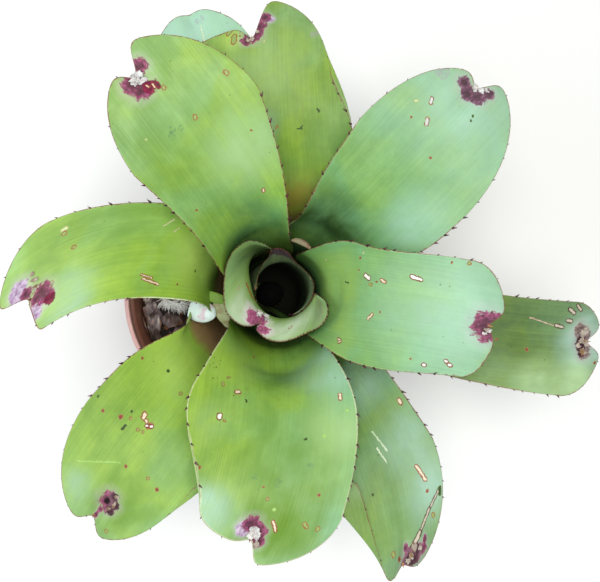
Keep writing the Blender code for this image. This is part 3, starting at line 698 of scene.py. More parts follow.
def rolledSurface(leaf, t, c):  # rings round the tank, carried up to the free margin
    look = rolledLeaves[leaf["rank"]]
    rim = np.array(look["rim"]) * mm
    stations = np.arange(len(rim))
    place = np.interp(c, (-1, 1), (0, len(rim) - 1))
    edge = np.stack([throughPoints(stations, rim[:, k], place) for k in range(3)], -1)
    low, mouth = np.array(tank["low"]), np.array(tank["mouth"])
    azimuth = np.unwrap(np.arctan2(edge[:, 1] - mouth[1], edge[:, 0] - mouth[0]))
    middle = np.interp(look["tip"], stations, np.unwrap(np.arctan2(rim[:, 1] - mouth[1], rim[:, 0] - mouth[0])))
    shares, rings = [], []
    for share, height, radius, spread in look["rings"]:
        centre = low + (mouth - low) * (height * mm - low[2]) / (mouth[2] - low[2])
        angle = middle + (azimuth - middle) * spread
        facing, width, amount = look["belly"]
        apart = (np.degrees(angle) - facing + 180) % 360 - 180
        reach = radius + amount * np.exp(-(apart / width) ** 2) * eased((height - 160) / 45)
        ring = np.stack([np.cos(angle), np.sin(angle), np.zeros_like(angle)], -1) * reach[:, None] * mm + centre
        ring[:, 2] = height * mm
        shares.append(share)
        rings.append(ring)
    flare = np.clip(np.linalg.norm((edge - rings[-1])[:, :2], axis=1) / (18 * mm), 0, 1)
    bent = rings[-1] + (edge - rings[-1]) * 0.6
    bent[:, 2] += look["swell"] * mm * flare
    shares += [shares[-1] + 0.6 * (1 - shares[-1]), 1.0]
    rings += [bent, edge]
    surface = throughPoints(shares, np.array(rings), t)
    return (surface - np.array(plantPlace.translation)) @ np.array(plantPlace.to_3x3())


def leafGrid(leaf):  # the middle surface on a grid, its normals, and where each point lies on the leaf
    if leaf["rank"] in leafGrids:
        return leafGrids[leaf["rank"]]
    t = (np.linspace(0, 1, plant["rows"] + 1)) ** 1.1
    c = np.linspace(-1, 1, plant["columns"] + 1)
    if leaf["rank"] in rolledLeaves:
        middle = rolledSurface(leaf, t, c)
        along = across2d(middle.transpose(1, 0, 2)).T
        look = rolledLeaves[leaf["rank"]]
        tip = int(round(look["tip"] / (len(look["rim"]) - 1) * plant["columns"]))
        arc = along + leaf["length"] * mm - along[-1, tip]
        offset = across2d(middle)
        offset = offset - offset[:, tip:tip + 1]
    else:
        rows, columns = np.meshgrid(t, c, indexing="ij")
        arc, offset, v = leafChart(leaf, rows, columns)
        middle = leafPoint(leaf, arc, offset)
        middle = middle + leafNormal(leaf, arc, offset) * leafRelief(leaf, arc, offset, v)[..., None]
    normal = np.cross(np.gradient(middle, axis=1), np.gradient(middle, axis=0))
    normal /= np.maximum(np.linalg.norm(normal, axis=-1, keepdims=True), 1e-12)
    gap = toMargin(np.stack([offset, arc], -1))
    leafGrids[leaf["rank"]] = dict(middle=middle, normal=normal, arc=arc, offset=offset, gap=gap)
    return leafGrids[leaf["rank"]]


def perimeter(rows, columns):  # grid places round the outline, in order
    foot = [(0, j) for j in range(columns, 0, -1)]
    left = [(i, 0) for i in range(0, rows)]
    end = [(rows, j) for j in range(0, columns)]
    right = [(i, columns) for i in range(rows, 0, -1)]
    return foot + left + end + right


def makeLeafMesh(leaf, name):
    grid = leafGrid(leaf)
    middle, normal, arc, offset, gap = (grid[k] for k in ("middle", "normal", "arc", "offset", "gap"))
    thickness = plant["margin"] + (plant["midrib"] - plant["margin"]) * eased(gap / (14 * mm))
    thickness = thickness * eased(0.25 + gap / (1.2 * mm))
    upper = middle + normal * thickness[..., None] / 2
    lower = middle - normal * thickness[..., None] / 2
    rows, columns = plant["rows"], plant["columns"]
    count = (rows + 1) * (columns + 1)
    index = np.arange(count).reshape(rows + 1, columns + 1)
    loop = perimeter(rows, columns)
    inward = [(min(max(i, 1), rows - 1), min(max(j, 1), columns - 1)) for i, j in loop]
    edge = np.array([middle[place] for place in loop])
    outward = edge - np.array([middle[place] for place in inward])
    outward /= np.maximum(np.linalg.norm(outward, axis=1, keepdims=True), 1e-12)
    points = np.concatenate([upper.reshape(-1, 3), lower.reshape(-1, 3), edge + outward * plant["rimBulge"]])
    faces = []
    for i in range(rows):
        for j in range(columns):
            quad = (index[i, j], index[i, j + 1], index[i + 1, j + 1], index[i + 1, j])
            faces.append(quad)
            faces.append(tuple(count + k for k in reversed(quad)))
    size = len(loop)
    for k in range(size):
        here, after = index[loop[k]], index[loop[(k + 1) % size]]
        rim, rimAfter = 2 * count + k, 2 * count + (k + 1) % size
        faces.append((here, after, rimAfter, rim))
        faces.append((rim, rimAfter, count + after, count + here))
    mesh = bpy.data.meshes.new(name)
    mesh.from_pydata([tuple(p) for p in points], [], [tuple(int(k) for k in face) for face in faces])
    rimArc = np.array([arc[place] for place in loop])
    rimOffset = np.array([offset[place] for place in loop])
    allArc = np.concatenate([arc.ravel(), arc.ravel(), rimArc])
    allOffset = np.concatenate([offset.ravel(), offset.ravel(), rimOffset])
    allGap = np.concatenate([gap.ravel(), gap.ravel(), np.zeros(size)])
    side = np.concatenate([np.ones(count), np.zeros(count), np.full(size, 0.5)])
    corners = np.empty(len(mesh.loops), dtype=np.int32)
    mesh.loops.foreach_get("vertex_index", corners)
    leafMap = mesh.uv_layers.new(name="leafMap")  # metres across and along the leaf
    leafMap.data.foreach_set("uv", np.stack([allOffset[corners], allArc[corners]], -1).ravel())
    edgeMap = mesh.uv_layers.new(name="edgeMap")  # metres from the margin, and 1 on the upper side
    edgeMap.data.foreach_set("uv", np.stack([allGap[corners], side[corners]], -1).ravel())
    mesh.transform(plantPlace)
    mesh.validate()
    return mesh


# Leaf skin: one material a leaf, from shared colours.

leafLook = dict(
    veinPitch=0.95 * mm, roughness=0.42, gloss=0.2,
    # warm and cool run up the leaf; their near-black foot is painted shade deep in the rosette.
    warm=((0.0, "120d08"), (0.2, "56692c"), (0.3, "86a83e"), (0.45, "8aad3a"), (0.75, "8aab3f"),
          (1.0, "90b052")),
    cool=((0.0, "12110d"), (0.2, "3a603c"), (0.3, "5c8d5e"), (0.45, "699b67"), (0.75, "7aa977"),
          (1.0, "8fba97")),
    deep="4b7a2c", sheath="9a7a58", sheathEdge="8d8b44", underside="8aa56f",
    # Patch colours: dark and blue are painted shade, mint is waxy bloom and partly painted sheen.
    patches=dict(lime="bfdc70", moss="668c30", mint="b0d3c6", sage="accc98", pale="dcebd2", blue="4f906c",
                 dark="1d3011", olive="9a8c3c", beige="cfc8a0", wine="6a4a58"),
    edge="7a3a34", edgeLine="d3dcb4", mauve="5d4757", stainDark="32121f", speck="4a4a24", rust="8c3a22",
    # Painted shade in the inner leaves' throat, in mm up the leaf: where it ends, and where it is full.
    inner="14160f", throatShades={1: (72, 34), 2: (94, 70), 3: (70, 50)},
)

# Hues of the tips' stains. Later ones lie on top.
stainLooks = dict(
    dusk=dict(low="33262e", high="5d4a55", halo="5d5a55", glow=0.3, grain=0.3),
    lilac=dict(low="8d6494", high="d8c6dc", halo="cfc9d3", glow=0.3, grain=0.2),
    pink=dict(low="a32a66", high="d878ae", halo="f4e6ef", glow=0.7, grain=0.25),
    brown=dict(low="5b3f3c", high="a08c84", halo="aaa9a4", glow=0.5, grain=0.4),
    purple=dict(low="74284c", high="a6567c", halo="c3b6c4", glow=0.25, grain=0.7),
    plum=dict(low="5e3049", high="946480", halo="c3b6c4", glow=0.25, grain=0.75),
    crimson=dict(low="5c1230", high="8f1e42", halo="c3b6c4", glow=0.0, grain=0.4),
    umber=dict(low="2e1a1c", high="6b4650", halo="8f8188", glow=0.3, grain=0.6),
)

# Looks of the marks: (rim, core, rim width). Later ones lie on top.
markLooks = dict(
    hole=("8a4f34", "cdb497", 0.34 * mm),
    pale=("a0a868", "c9d6a0", 0.3 * mm),
    scar=("8a4630", "e2d3b8", 0.5 * mm),
    freckle=("7b5f2c", "5d4420", 1.6 * mm),
    cream=("93705a", "e9dfce", 0.3 * mm),
    crack=("4f382c", "c6bba8", 0.5 * mm),
    dot=("98704a", "843830", 0.3 * mm),
    dark=("55743a", "37401f", 0.25 * mm),
    white=("7a4230", "f4f1ea", 0.5 * mm),
    ring=("93603c", "8fa860", 0.42 * mm),
    grey=("5f8a4a", "4f7550", 0.9 * mm),
    crease=("b5cda6", "dfe8cf", 0.3 * mm),
    scratch=("9a5a34", "c2562e", 0.2 * mm),
    black=("3a1626", "0e0608", 0.5 * mm),
    faint=("98c264", "a2c874", 0.3 * mm),
    lilac=("a6bda0", "a08ba6", 1.6 * mm),
)


def paintMarks(tree, colour, leafMap, marks):  # each mark waits for the one before, to spare shader memory
    wobble = vectorMath(tree, "SUBTRACT", speckle(tree, leafMap, 620, 2.0, output=1), (0.5, 0.5, 0.5))
    ragged = vectorMath(tree, "MULTIPLY_ADD", wobble, (1.6 * mm, 1.6 * mm, 0), leafMap)
    holes = times(tree, xyz(tree, ragged)[2], 0.0)
    torn = times(tree, between(tree, speckle(tree, leafMap, 520, 3.0, 0.6), 0.42, 0.6), 0.5)
    specks = useGroup(tree, speckGroup, Map=leafMap, Spacing=1.5 * mm, Size=0.42 * mm, Share=0.55)[0]
    clouds = dict(freckle=specks, grey=torn, lilac=torn)
    for kind, (rimCode, coreCode, rim) in markLooks.items():
        for across, along, length, width, turn in marks.get(kind, ()):
            here = vectorMath(tree, "MULTIPLY_ADD", holes, (1e-9, 1e-9, 1e-9), ragged)
            scar = useGroup(tree, scarGroup, Map=here, Place=(across * mm, along * mm, 0),
                            Length=length * mm, Width=width * mm, Turn=math.radians(turn), Rim=rim)
            if kind in clouds:
                colour = mixed(tree, times(tree, scar["Rim"], clouds[kind]), colour, coreCode)
                holes = maths(tree, "MAXIMUM", holes, times(tree, scar["Rim"], 1e-4))
            else:
                colour = mixed(tree, times(tree, scar["Rim"], 0.9), colour, rimCode)
                colour = mixed(tree, times(tree, scar["Core"], 0.95), colour, coreCode)
                holes = maths(tree, "MAXIMUM", holes, scar["Core"])
    return colour, holes


def roundPatch(tree, leafMap, across, along, reach):  # 1 in the middle of a soft round patch, 0 outside it
    away = lengthOf(tree, vectorMath(tree, "SUBTRACT", leafMap, (across * mm, along * mm, 0)))
    return between(tree, away, reach * mm, 0.15 * reach * mm)


def paintStains(tree, colour, stains, leafMap, fine):
    stained = 0.0
    for hue, look in stainLooks.items():
        near = None
        for across, along, reach, stretch in stains.get(hue, ()):
            blob = useGroup(tree, blobGroup, Map=leafMap, Place=(across * mm, along * mm, 0),
                            Reach=reach * mm, Stretch=stretch)[0]
            near = maths(tree, "SMOOTH_MIN", near, blob, 0.5) if near else blob
        if near:
            tip = useGroup(tree, tipGroup, Map=leafMap, Near=near)
            colour = mixed(tree, times(tree, tip["Halo"], look["glow"]), colour, look["halo"])
            purple = mixed(tree, fine, look["low"], look["high"])
            dark = times(tree, maths(tree, "MAXIMUM", tip["Grain"], tip["Heart"]), look["grain"])
            purple = mixed(tree, dark, purple, leafLook["stainDark"])
            colour = mixed(tree, times(tree, tip["Stain"], 0.95), colour, purple)
            stained = maths(tree, "MAXIMUM", stained, tip["Stain"])
    return colour, stained


def paintSheath(tree, green, leaf, along, gap, mottle):  # the outer sheaths are brown inside
    share, clear = leaf["brown"]
    ragged = maths(tree, "MULTIPLY_ADD", minus(tree, mottle["Broad"], 0.5), 0.04, along)
    inside = between(tree, gap, clear * mm, (clear + 5) * mm) if clear else 1.0
    olive = times(tree, between(tree, ragged, share + 0.04, share), inside)
    green = mixed(tree, olive, green, leafLook["sheathEdge"])
    brown = times(tree, between(tree, ragged, share + 0.01, share - 0.015), inside)
    return mixed(tree, brown, green, leafLook["sheath"])


def paintEdge(tree, green, leaf, gap, shifted):  # a pale line, and a reddish one that is broken up
    line = times(tree, between(tree, gap, 0.85 * mm, 0.45 * mm), leaf["rimLine"])
    green = mixed(tree, line, green, leafLook["edgeLine"])
    broken = minus(tree, speckle(tree, shifted, 420, 3.0, 0.6), 0.5)
    ragged = plus(tree, gap, times(tree, broken, 1.6 * mm))
    reach = 1.5 * mm if leaf["rank"] in rolledLeaves else 0.6 * mm
    red = times(tree, between(tree, ragged, reach, 0.15 * mm), 0.95 * (1 - leaf["rimLine"]))
    return mixed(tree, red, green, leafLook["edge"])


def leafSkin(leaf):
    rank = leaf["rank"]
    material, tree, shader = newMaterial(f"leafSkin{rank:02d}", leafLook["roughness"])
    leafMap = addNode(tree, "ShaderNodeUVMap", uv_map="leafMap").outputs[0]
    across, forward = xyz(tree, leafMap)[:2]
    gap, side = xyz(tree, addNode(tree, "ShaderNodeUVMap", uv_map="edgeMap").outputs[0])[:2]
    along = divided(tree, forward, leaf["length"] * mm)
    shifted = vectorMath(tree, "ADD", leafMap, (0.37 * rank, 0.61 * rank, 0))
    patch = useGroup(tree, patchGroup, Vector=shifted, Scale=26.0)
    mottle = useGroup(tree, patchGroup, Vector=stretched(tree, shifted, 1.0, 0.6), Scale=75.0)
    veins = useGroup(tree, veinGroup, Map=shifted, Pitch=leafLook["veinPitch"])
    # The green, from yellowish to bluish; the bluer side that lean gives a blade is partly painted sheen.
    # It darkens to near black at the foot of the leaf, as painted shade.
    lean = maths(tree, "MULTIPLY_ADD", across, leaf["lean"], leaf["tint"] - 0.3)
    cool = maths(tree, "MULTIPLY_ADD", patch["Broad"], 0.6, lean, clamp=True)
    green = mixed(tree, cool, ramped(tree, along, leafLook["warm"]), ramped(tree, along, leafLook["cool"]))
    green = mixed(tree, times(tree, mottle["Broad"], 0.36), green, leafLook["deep"])
    if leaf["brown"]:
        green = paintSheath(tree, green, leaf, along, gap, mottle)
    if rank in rolledLeaves:
        green = mixed(tree, leaf["mauve"], green, leafLook["mauve"])
    tone = maths(tree, "MULTIPLY_ADD", veins["Streaks"], 0.06, leaf["tone"])
    tone = maths(tree, "MULTIPLY_ADD", veins["Lines"], 0.08, tone)
    tone = maths(tree, "MULTIPLY_ADD", patch["Fine"], 0.08, tone)
    green = scaledBy(tree, green, tone)
    # Waxy bloom towards the tip, partly painted sheen; patches, the dark and blue ones painted shade;
    # specks, stains, edges and marks.
    uneven = maths(tree, "MULTIPLY_ADD", mottle["Broad"], 0.5, 0.5)
    bloomAndSheen = times(tree, between(tree, along, 0.6, 1.02), leaf["bloomAndSheen"])
    green = mixed(tree, times(tree, bloomAndSheen, uneven), green, leafLook["patches"]["mint"])
    for x, y, reach, share, hue in leaf["patches"]:
        soft = times(tree, roundPatch(tree, leafMap, x, y, reach), share)
        green = mixed(tree, times(tree, soft, uneven), green, leafLook["patches"][hue])
    fine = useGroup(tree, speckGroup, Map=shifted, Spacing=7 * mm, Size=0.4 * mm, Share=0.3)[0]
    rust = useGroup(tree, speckGroup, Map=stretched(tree, shifted, 1.0, 0.7), Spacing=19 * mm,
                    Size=0.6 * mm, Share=0.3)[0]
    green = mixed(tree, times(tree, fine, 0.45), green, leafLook["speck"])
    green = mixed(tree, times(tree, rust, 0.6), green, leafLook["rust"])
    green, stained = paintStains(tree, green, leaf["stains"], leafMap, mottle["Fine"])
    green = paintEdge(tree, green, leaf, gap, shifted)
    green, cores = paintMarks(tree, green, leafMap, leaf["marks"])
    # The underside, and the painted shade in the throat.
    below = mixed(tree, patch["Broad"], green, leafLook["underside"])
    below = mixed(tree, 0.6, green, below)
    green = mixed(tree, side, below, green)
    if rank in leafLook["throatShades"]:
        high, low = leafLook["throatShades"][rank]
        green = mixed(tree, between(tree, forward, high * mm, low * mm), green, leafLook["inner"])
    coloured(tree, shader, green)
    shader.inputs["Specular IOR Level"].default_value = leafLook["gloss"]
    rough = maths(tree, "MULTIPLY_ADD", stained, 0.25, leafLook["roughness"])
    feed(tree, shader.inputs["Roughness"], maths(tree, "MULTIPLY_ADD", veins["Streaks"], 0.08, rough))
    height = maths(tree, "MULTIPLY_ADD", veins["Lines"], 0.4, times(tree, cores, -0.8))
    height = plus(tree, height, times(tree, fine, 0.5))
    height = maths(tree, "MULTIPLY_ADD", mottle["Fine"], times(tree, stained, 0.8), height)
    bumped(tree, shader, height, 0.2 * mm, 0.8)
    return material


def holeCutter(leaf, mark):  # a torn prism that stands through the blade where a mark says so
    across, along, length, width = [v * mm for v in mark[:4]]
    turn = math.radians(mark[4])
    rng = random.Random(round(along * 1e5) + leaf["rank"])
    sides, depth = 18, 4 * mm
    outline = []
    for k in range(sides):
        angle = math.tau * k / sides
        wobble = rng.uniform(0.8, 1.1)
        y = 0.5 * length * math.copysign(abs(math.sin(angle)) ** 0.8, math.sin(angle)) * wobble
        x = 0.5 * width * math.cos(angle) * wobble
        outline.append((across + x * math.cos(turn) + y * math.sin(turn),
                        along - x * math.sin(turn) + y * math.cos(turn)))
    offset, arc = np.array(outline).T
    middle = leafPoint(leaf, arc, offset)
    normal = leafNormal(leaf, np.array([along]), np.array([across]))[0]
    bm = bmesh.new()
    top = [bm.verts.new(p + normal * depth) for p in middle]
    low = [bm.verts.new(p - normal * depth) for p in middle]
    bm.faces.new(top)
    bm.faces.new(low[::-1])
    for k in range(sides):
        bm.faces.new((top[k - 1], low[k - 1], low[k], top[k]))
    bmesh.ops.recalc_face_normals(bm, faces=bm.faces[:])
    bmesh.ops.transform(bm, matrix=plantPlace, verts=bm.verts[:])
    return bpy.data.objects.new("holeCutter", meshFromBmesh("holeCutter", bm))


def makeLeaves():
    for leaf in leaves:
        name = f"leafBlade{leaf['rank']:02d}"
        piece = newObject(name, makeLeafMesh(leaf, name))
        holes = leaf["marks"].get("hole")
        if holes:
            cutAway(piece, [holeCutter(leaf, mark) for mark in holes])
        dressPiece(piece, leafSkin(leaf), 60, "leaf", f"leaf_{leaf['rank']:02d}")


makeLeaves()
print("leaves made")


# Spines: short hooked cones at random steps along every leaf margin.

spineLook = dict(
    seed=11, length=2.2 * mm, base=0.66 * mm, flat=0.36, hook=0.45 * mm, sink=0.25 * mm,
    pitch=(5 * mm, 13 * mm), tightPitch=(1.2 * mm, 2.6 * mm),
    bareTip=6 * mm, bareSheath=-4 * mm, bareRolled=84 * mm,
    colours=("5e2832", "28101a"),
)


def marginPath(leaf):  # places and directions all round a leaf's free margin
    grid = leafGrid(leaf)
    forward = np.gradient(grid["middle"], axis=0)

    def edge(values):
        return np.concatenate([values[:, 0], values[-1, 1:-1], values[::-1, -1]])

    place, normal = edge(grid["middle"]), edge(grid["normal"])
    outward = np.cross(normal, np.gradient(place, axis=0))
    outward /= np.maximum(np.linalg.norm(outward, axis=1, keepdims=True), 1e-12)
    forward = edge(forward)
    forward /= np.maximum(np.linalg.norm(forward, axis=1, keepdims=True), 1e-12)
    return place, outward, forward, normal, edge(grid["arc"]), edge(grid["offset"])


def spineSeats():
    rng = random.Random(spineLook["seed"])
    seats = []
    for leaf in leaves:
        place, outward, forward, normal, arc, offset = marginPath(leaf)
        travelled = np.concatenate([[0], np.cumsum(np.linalg.norm(np.diff(place, axis=0), axis=1))])
        rolled = leaf["rank"] in rolledLeaves
        whole = leaf["length"] * mm
        pitch = spineLook["tightPitch"] if rolled else spineLook["pitch"]
        size, raised = (0.95, 0.7) if rolled else (1.0, 0.0)
        free = spineLook["bareRolled"] if rolled else sheathEnd(leaf) + spineLook["bareSheath"]
        spot = rng.uniform(*pitch)
        while spot < travelled[-1]:
            k = int(np.searchsorted(travelled, spot))
            share = (spot - travelled[k - 1]) / max(travelled[k] - travelled[k - 1], 1e-9)
            seat = place[k - 1] + (place[k] - place[k - 1]) * share
            nearTip = not rolled and math.hypot(offset[k], whole - arc[k]) < spineLook["bareTip"]
            onLobe = not rolled and arc[k] > whole * leaf["shoulderAt"]
            if not nearTip and arc[k] > free:
                scale = size * rng.uniform(0.55, 1.25) * (0.6 if onLobe else 1.0)
                if not rolled:  # the lower ones are longer
                    scale *= 1.7 - 0.8 * arc[k] / whole
                aim = outward[k] * 0.8 + forward[k] * 0.6 + normal[k] * raised
                seats.append((seat - outward[k] * spineLook["sink"] * scale, aim, forward[k], scale))
            spot += rng.uniform(*pitch) * (1.5 if onLobe else 1.0)
    return seats


def instanceTree(name, shapeOf, kinds=0):  # stands a shape, or one of some kinds at random, on each point
    tree = bpy.data.node_groups.new(name, "GeometryNodeTree")
    for title, kind in (("Places", "Geometry"), ("Seed", "Int"), ("Length", "Float"), ("Skin", "Material")):
        tree.interface.new_socket(title, in_out="INPUT", socket_type="NodeSocket" + kind)
    tree.interface.new_socket("Geometry", in_out="OUTPUT", socket_type="NodeSocketGeometry")
    given, result = tree.nodes.new("NodeGroupInput").outputs, tree.nodes.new("NodeGroupOutput").inputs

    def attribute(title, kind):
        return addNode(tree, "GeometryNodeInputNamedAttribute", title, data_type=kind).outputs[0]

    aimed = addNode(tree, "FunctionNodeAlignRotationToVector", None, 1.0, attribute("aim", "FLOAT_VECTOR"),
                    axis="Z")
    led = addNode(tree, "FunctionNodeAlignRotationToVector", aimed.outputs[0], 1.0,
                  attribute("lead", "FLOAT_VECTOR"), axis="X", pivot_axis="Z")
    stood = tree.nodes.new("GeometryNodeInstanceOnPoints")
    for title, value in (("Points", given["Places"]), ("Instance", shapeOf(tree)),
                         ("Rotation", led.outputs[0]), ("Scale", attribute("size", "FLOAT"))):
        feed(tree, stood.inputs[title], value)
    if kinds:
        pick = addNode(tree, "FunctionNodeRandomValue", data_type="INT")
        ints = {socket.name: socket for socket in pick.inputs if socket.type == "INT"}
        ints["Max"].default_value = kinds - 1
        feed(tree, ints["Seed"], given["Seed"])
        stood.inputs["Pick Instance"].default_value = True
        picked = next(out for out in pick.outputs if out.type == "INT")
        feed(tree, stood.inputs["Instance Index"], picked)
    real = addNode(tree, "GeometryNodeRealizeInstances", stood.outputs[0])
    dressed = addNode(tree, "GeometryNodeSetMaterial", real.outputs[0])
    feed(tree, dressed.inputs["Material"], given["Skin"])
    smooth = addNode(tree, "GeometryNodeSetShadeSmooth", dressed.outputs[0])
    feed(tree, result[0], smooth.outputs[0])
    return tree


def spineShape(tree):  # a flattened cone whose point bends forward
    cone = addNode(tree, "GeometryNodeMeshCone", 6, 3, 1, 0.04 * mm, spineLook["base"], spineLook["length"],
                   fill_type="NGON")
    place = xyz(tree, tree.nodes.new("GeometryNodeInputPosition").outputs[0])
    up = divided(tree, place[2], tree.nodes.new("NodeGroupInput").outputs["Length"])
    bend = times(tree, times(tree, up, up), spineLook["hook"])
    thin = times(tree, place[1], spineLook["flat"] - 1)
    shift = addNode(tree, "ShaderNodeCombineXYZ", bend, thin)
    bent = addNode(tree, "GeometryNodeSetPosition", cone.outputs[0])
    feed(tree, bent.inputs["Offset"], shift.outputs[0])
    return bent.outputs[0]


def seatMesh(name, seats):  # one vertex a seat: place, aim, lead, size
    mesh = bpy.data.meshes.new(name)
    mesh.from_pydata([tuple(seat[0]) for seat in seats], [], [])
    for k, (title, kind) in enumerate((("aim", "FLOAT_VECTOR"), ("lead", "FLOAT_VECTOR"), ("size", "FLOAT"))):
        attribute = mesh.attributes.new(title, kind, "POINT")
        values = np.array([seat[k + 1] for seat in seats], dtype=np.float32).ravel()
        attribute.data.foreach_set("vector" if kind == "FLOAT_VECTOR" else "value", values)
    return mesh


def instanced(name, seats, tree, seed, length, skin):
    piece = newObject(name, seatMesh(name, seats))
    modifier = piece.modifiers.new("scatter", "NODES")
    sockets = {item.name: item.identifier for item in tree.interface.items_tree if item.in_out == "INPUT"}
    modifier.node_group = tree
    modifier[sockets["Seed"]] = seed
    modifier[sockets["Length"]] = length
    modifier[sockets["Skin"]] = skin
    return finished(piece)


def twoToneSkin(name, roughness, scale, detail, span, colours):  # two colours in soft spots
    material, tree, shader = newMaterial(name, roughness)
    shade = between(tree, speckle(tree, objectPlace(tree), scale, detail), *span)
    coloured(tree, shader, mixed(tree, shade, *colours))
    return material


def makeSpines():
    turn = plantPlace.to_3x3()
    seats = [(plantPlace @ Vector(place), turn @ Vector(aim), turn @ Vector(lead), size)
             for place, aim, lead, size in spineSeats()]
    skin = twoToneSkin("spineSkin", 0.4, 600, 2.0, (0.35, 0.65), spineLook["colours"])
    tree = instanceTree("edgeSpines", spineShape)
    piece = instanced("leafSpines", seats, tree, spineLook["seed"], spineLook["length"], skin)
    handOver(piece, "leaf")
    print(f"spines made: {len(seats)}")


makeSpines()


# Dry tips: crumpled papery crust and a hard brown point where each leaf's notch has dried.

# White flakes and tan scraps of each leaf's tip: (across, back from the notch, width, length, lift) in mm;
# point: (length, turn up).
dryTips = {
    2: dict(flakes=((1.6, 11.6, 5.4, 5.6, 2.2), (-0.6, 13.2, 4.6, 4.6, 2), (3, 9.8, 3.6, 4, 1.8),
                    (-2.6, 11.4, 2, 5, 1.6)),
            point=(2, 0.6)),
    3: dict(flakes=((3, 1, 2.4, 3.4, 1.1), (5.2, 3, 2, 3, 0.9)),
            scraps=((3.6, 2.6, 3, 3.6, 1.2),),
            point=(3.6, 0.5)),
    4: dict(flakes=((2.4, 0.9, 6, 5, 1.3), (-2.3, 2.5, 6, 5.4, 1.1), (2.4, 4.2, 5, 4, 1.2),
                    (0, 3, 4, 4, 1.8), (-1, 0.5, 4, 3, 1.6)),
            point=(2.4, 1.1)),
    5: dict(flakes=((-1.3, 5.6, 6, 5.4, 1.4), (-0.5, 3, 6, 5, 1.3), (1.5, 6.4, 4, 4, 1.2),
                    (-3, 2, 4, 4.6, 1.6)),
            scraps=((-4.4, -1, 3.4, 4.6, 1.2),),
            point=(3.4, 1.2)),
    6: dict(flakes=((0, 1.4, 4.4, 4, 1.2), (3, 0.2, 4.6, 3.4, 1.2), (-1.6, 0.4, 3.4, 3, 1),
                    (5.8, -1.6, 3.6, 2.4, 0.9)),
            point=(2.6, 0.9)),
    7: dict(scraps=((8.3, 3.7, 2.6, 5, 1.5), (4.4, 4.5, 2.8, 4.4, 1.3), (11.2, 3.2, 2, 3.4, 1.2)),
            point=(2.6, 1.3)),
    8: dict(scraps=((-6.2, 9.2, 3.6, 6, 1.1), (-5.2, 5.2, 3.2, 5, 1), (-9, 8, 2.6, 4, 0.9),
                    (-3, 2, 3, 4, 1)),
            point=(3, 0.9)),
    9: dict(scraps=((0.8, 0.8, 3.4, 2.6, 0.9), (-2.5, 2.6, 3, 2.4, 0.8), (4, -2.4, 2.4, 2.4, 0.8)),
            point=(2.4, 0.9)),
    10: dict(scraps=((-7, 15.6, 2.2, 5, 1.6), (-5.6, 11.8, 3.6, 2.2, 1.5), (-5.4, 18.8, 3.4, 2, 1.5)),
             point=(2.2, 1.4)),
    11: dict(scraps=((-5.4, 7, 5.4, 6.4, 1.2), (0.6, 2.5, 6, 6, 1.2), (6, 5.6, 5.2, 5.6, 1.2),
                     (-1, 6.4, 4.6, 5, 1.1), (3, 8.6, 3.6, 4.6, 1), (-8, 5, 3.4, 4, 1)),
             point=(3, 0.8)),
}
dryLook = dict(
    thickness=0.16 * mm, rings=6, spokes=18,
    white="fbfaf8", pale="d8cabb", tan="a8845e", dark="4a2822", point=("4a1c1a", "b07a4a"),
)


def leafFrame(leaf, arc, offset):  # place, right, up and normal at one spot, in the frame's own axes
    grid = leafGrid(leaf)
    near = np.hypot(grid["arc"] - arc, grid["offset"] - offset)
    i, j = np.unravel_index(near.argmin(), near.shape)
    up = Vector(grid["middle"][i, j] - grid["middle"][i - 1, j])
    turn = plantPlace.to_3x3()
    normal = (turn @ Vector(grid["normal"][i, j])).normalized()
    up = (turn @ up).normalized()
    return plantPlace @ Vector(grid["middle"][i, j]), up.cross(normal).normalized(), up, normal


def tipArc(leaf):  # how far the midrib reaches at the notch
    return (leaf["length"] - leaf["notch"]) * mm


def addFlake(bm, seat, width, length, lift, seed):  # a torn, crumpled scrap with a closed rim
    place, right, up, normal = seat
    rng = random.Random(seed)
    rings, spokes, thickness = dryLook["rings"], dryLook["spokes"], dryLook["thickness"]
    reach = [rng.uniform(0.62, 1.12) for _ in range(spokes)]
    skins = []
    for side in (0.5, -0.5):
        grid = [bm.verts.new(place + normal * (lift + side * thickness))]
        for ring in range(1, rings + 1):
            for spoke in range(spokes):
                angle = math.tau * spoke / spokes
                out = ring / rings * (reach[spoke] if ring > rings - 2 else 0.5 + 0.5 * reach[spoke])
                x = 0.5 * width * out * math.cos(angle)
                y = 0.5 * length * out * math.sin(angle)
                spot = Vector((x, y, seed))
                fold = noise.noise(spot * 900) * 0.8 + noise.noise(spot * 2600) * 0.35
                curl = 0.5 * (ring / rings) ** 2 * math.cos(2 * angle + seed)
                rise = lift * (1 + fold + curl) + side * thickness
                grid.append(bm.verts.new(place + right * x + up * y + normal * rise))
        skins.append(grid)
    for grid, flip in zip(skins, (False, True)):
        for spoke in range(spokes):
            after = (spoke + 1) % spokes
            faces = [(grid[0], grid[1 + spoke], grid[1 + after])]
            for ring in range(rings - 1):
                low, high = 1 + ring * spokes, 1 + (ring + 1) * spokes
                faces.append((grid[low + spoke], grid[high + spoke], grid[high + after], grid[low + after]))
            for face in faces:
                bm.faces.new(face[::-1] if flip else face)
    upper, lower = [grid[-spokes:] for grid in skins]
    for spoke in range(spokes):
        after = (spoke + 1) % spokes
        bm.faces.new((upper[after], upper[spoke], lower[spoke], lower[after]))


def addTube(bm, path, radii, sides=8, flat=1.0):  # flat squeezes it from above
    turns = [math.tau * s / sides for s in range(sides)]
    rings = []
    for k, (spot, radius) in enumerate(zip(path, radii)):
        before, after = path[max(k - 1, 0)], path[min(k + 1, len(path) - 1)]
        ahead = (after - before).normalized()
        across = ahead.cross(Vector((0, 0, 1)))
        across = across.normalized() if across.length > 1e-6 else ahead.orthogonal().normalized()
        over = across.cross(ahead) * flat
        rings.append([bm.verts.new(spot + (across * math.cos(turn) + over * math.sin(turn)) * radius)
                      for turn in turns])
    joinRings(bm, rings)


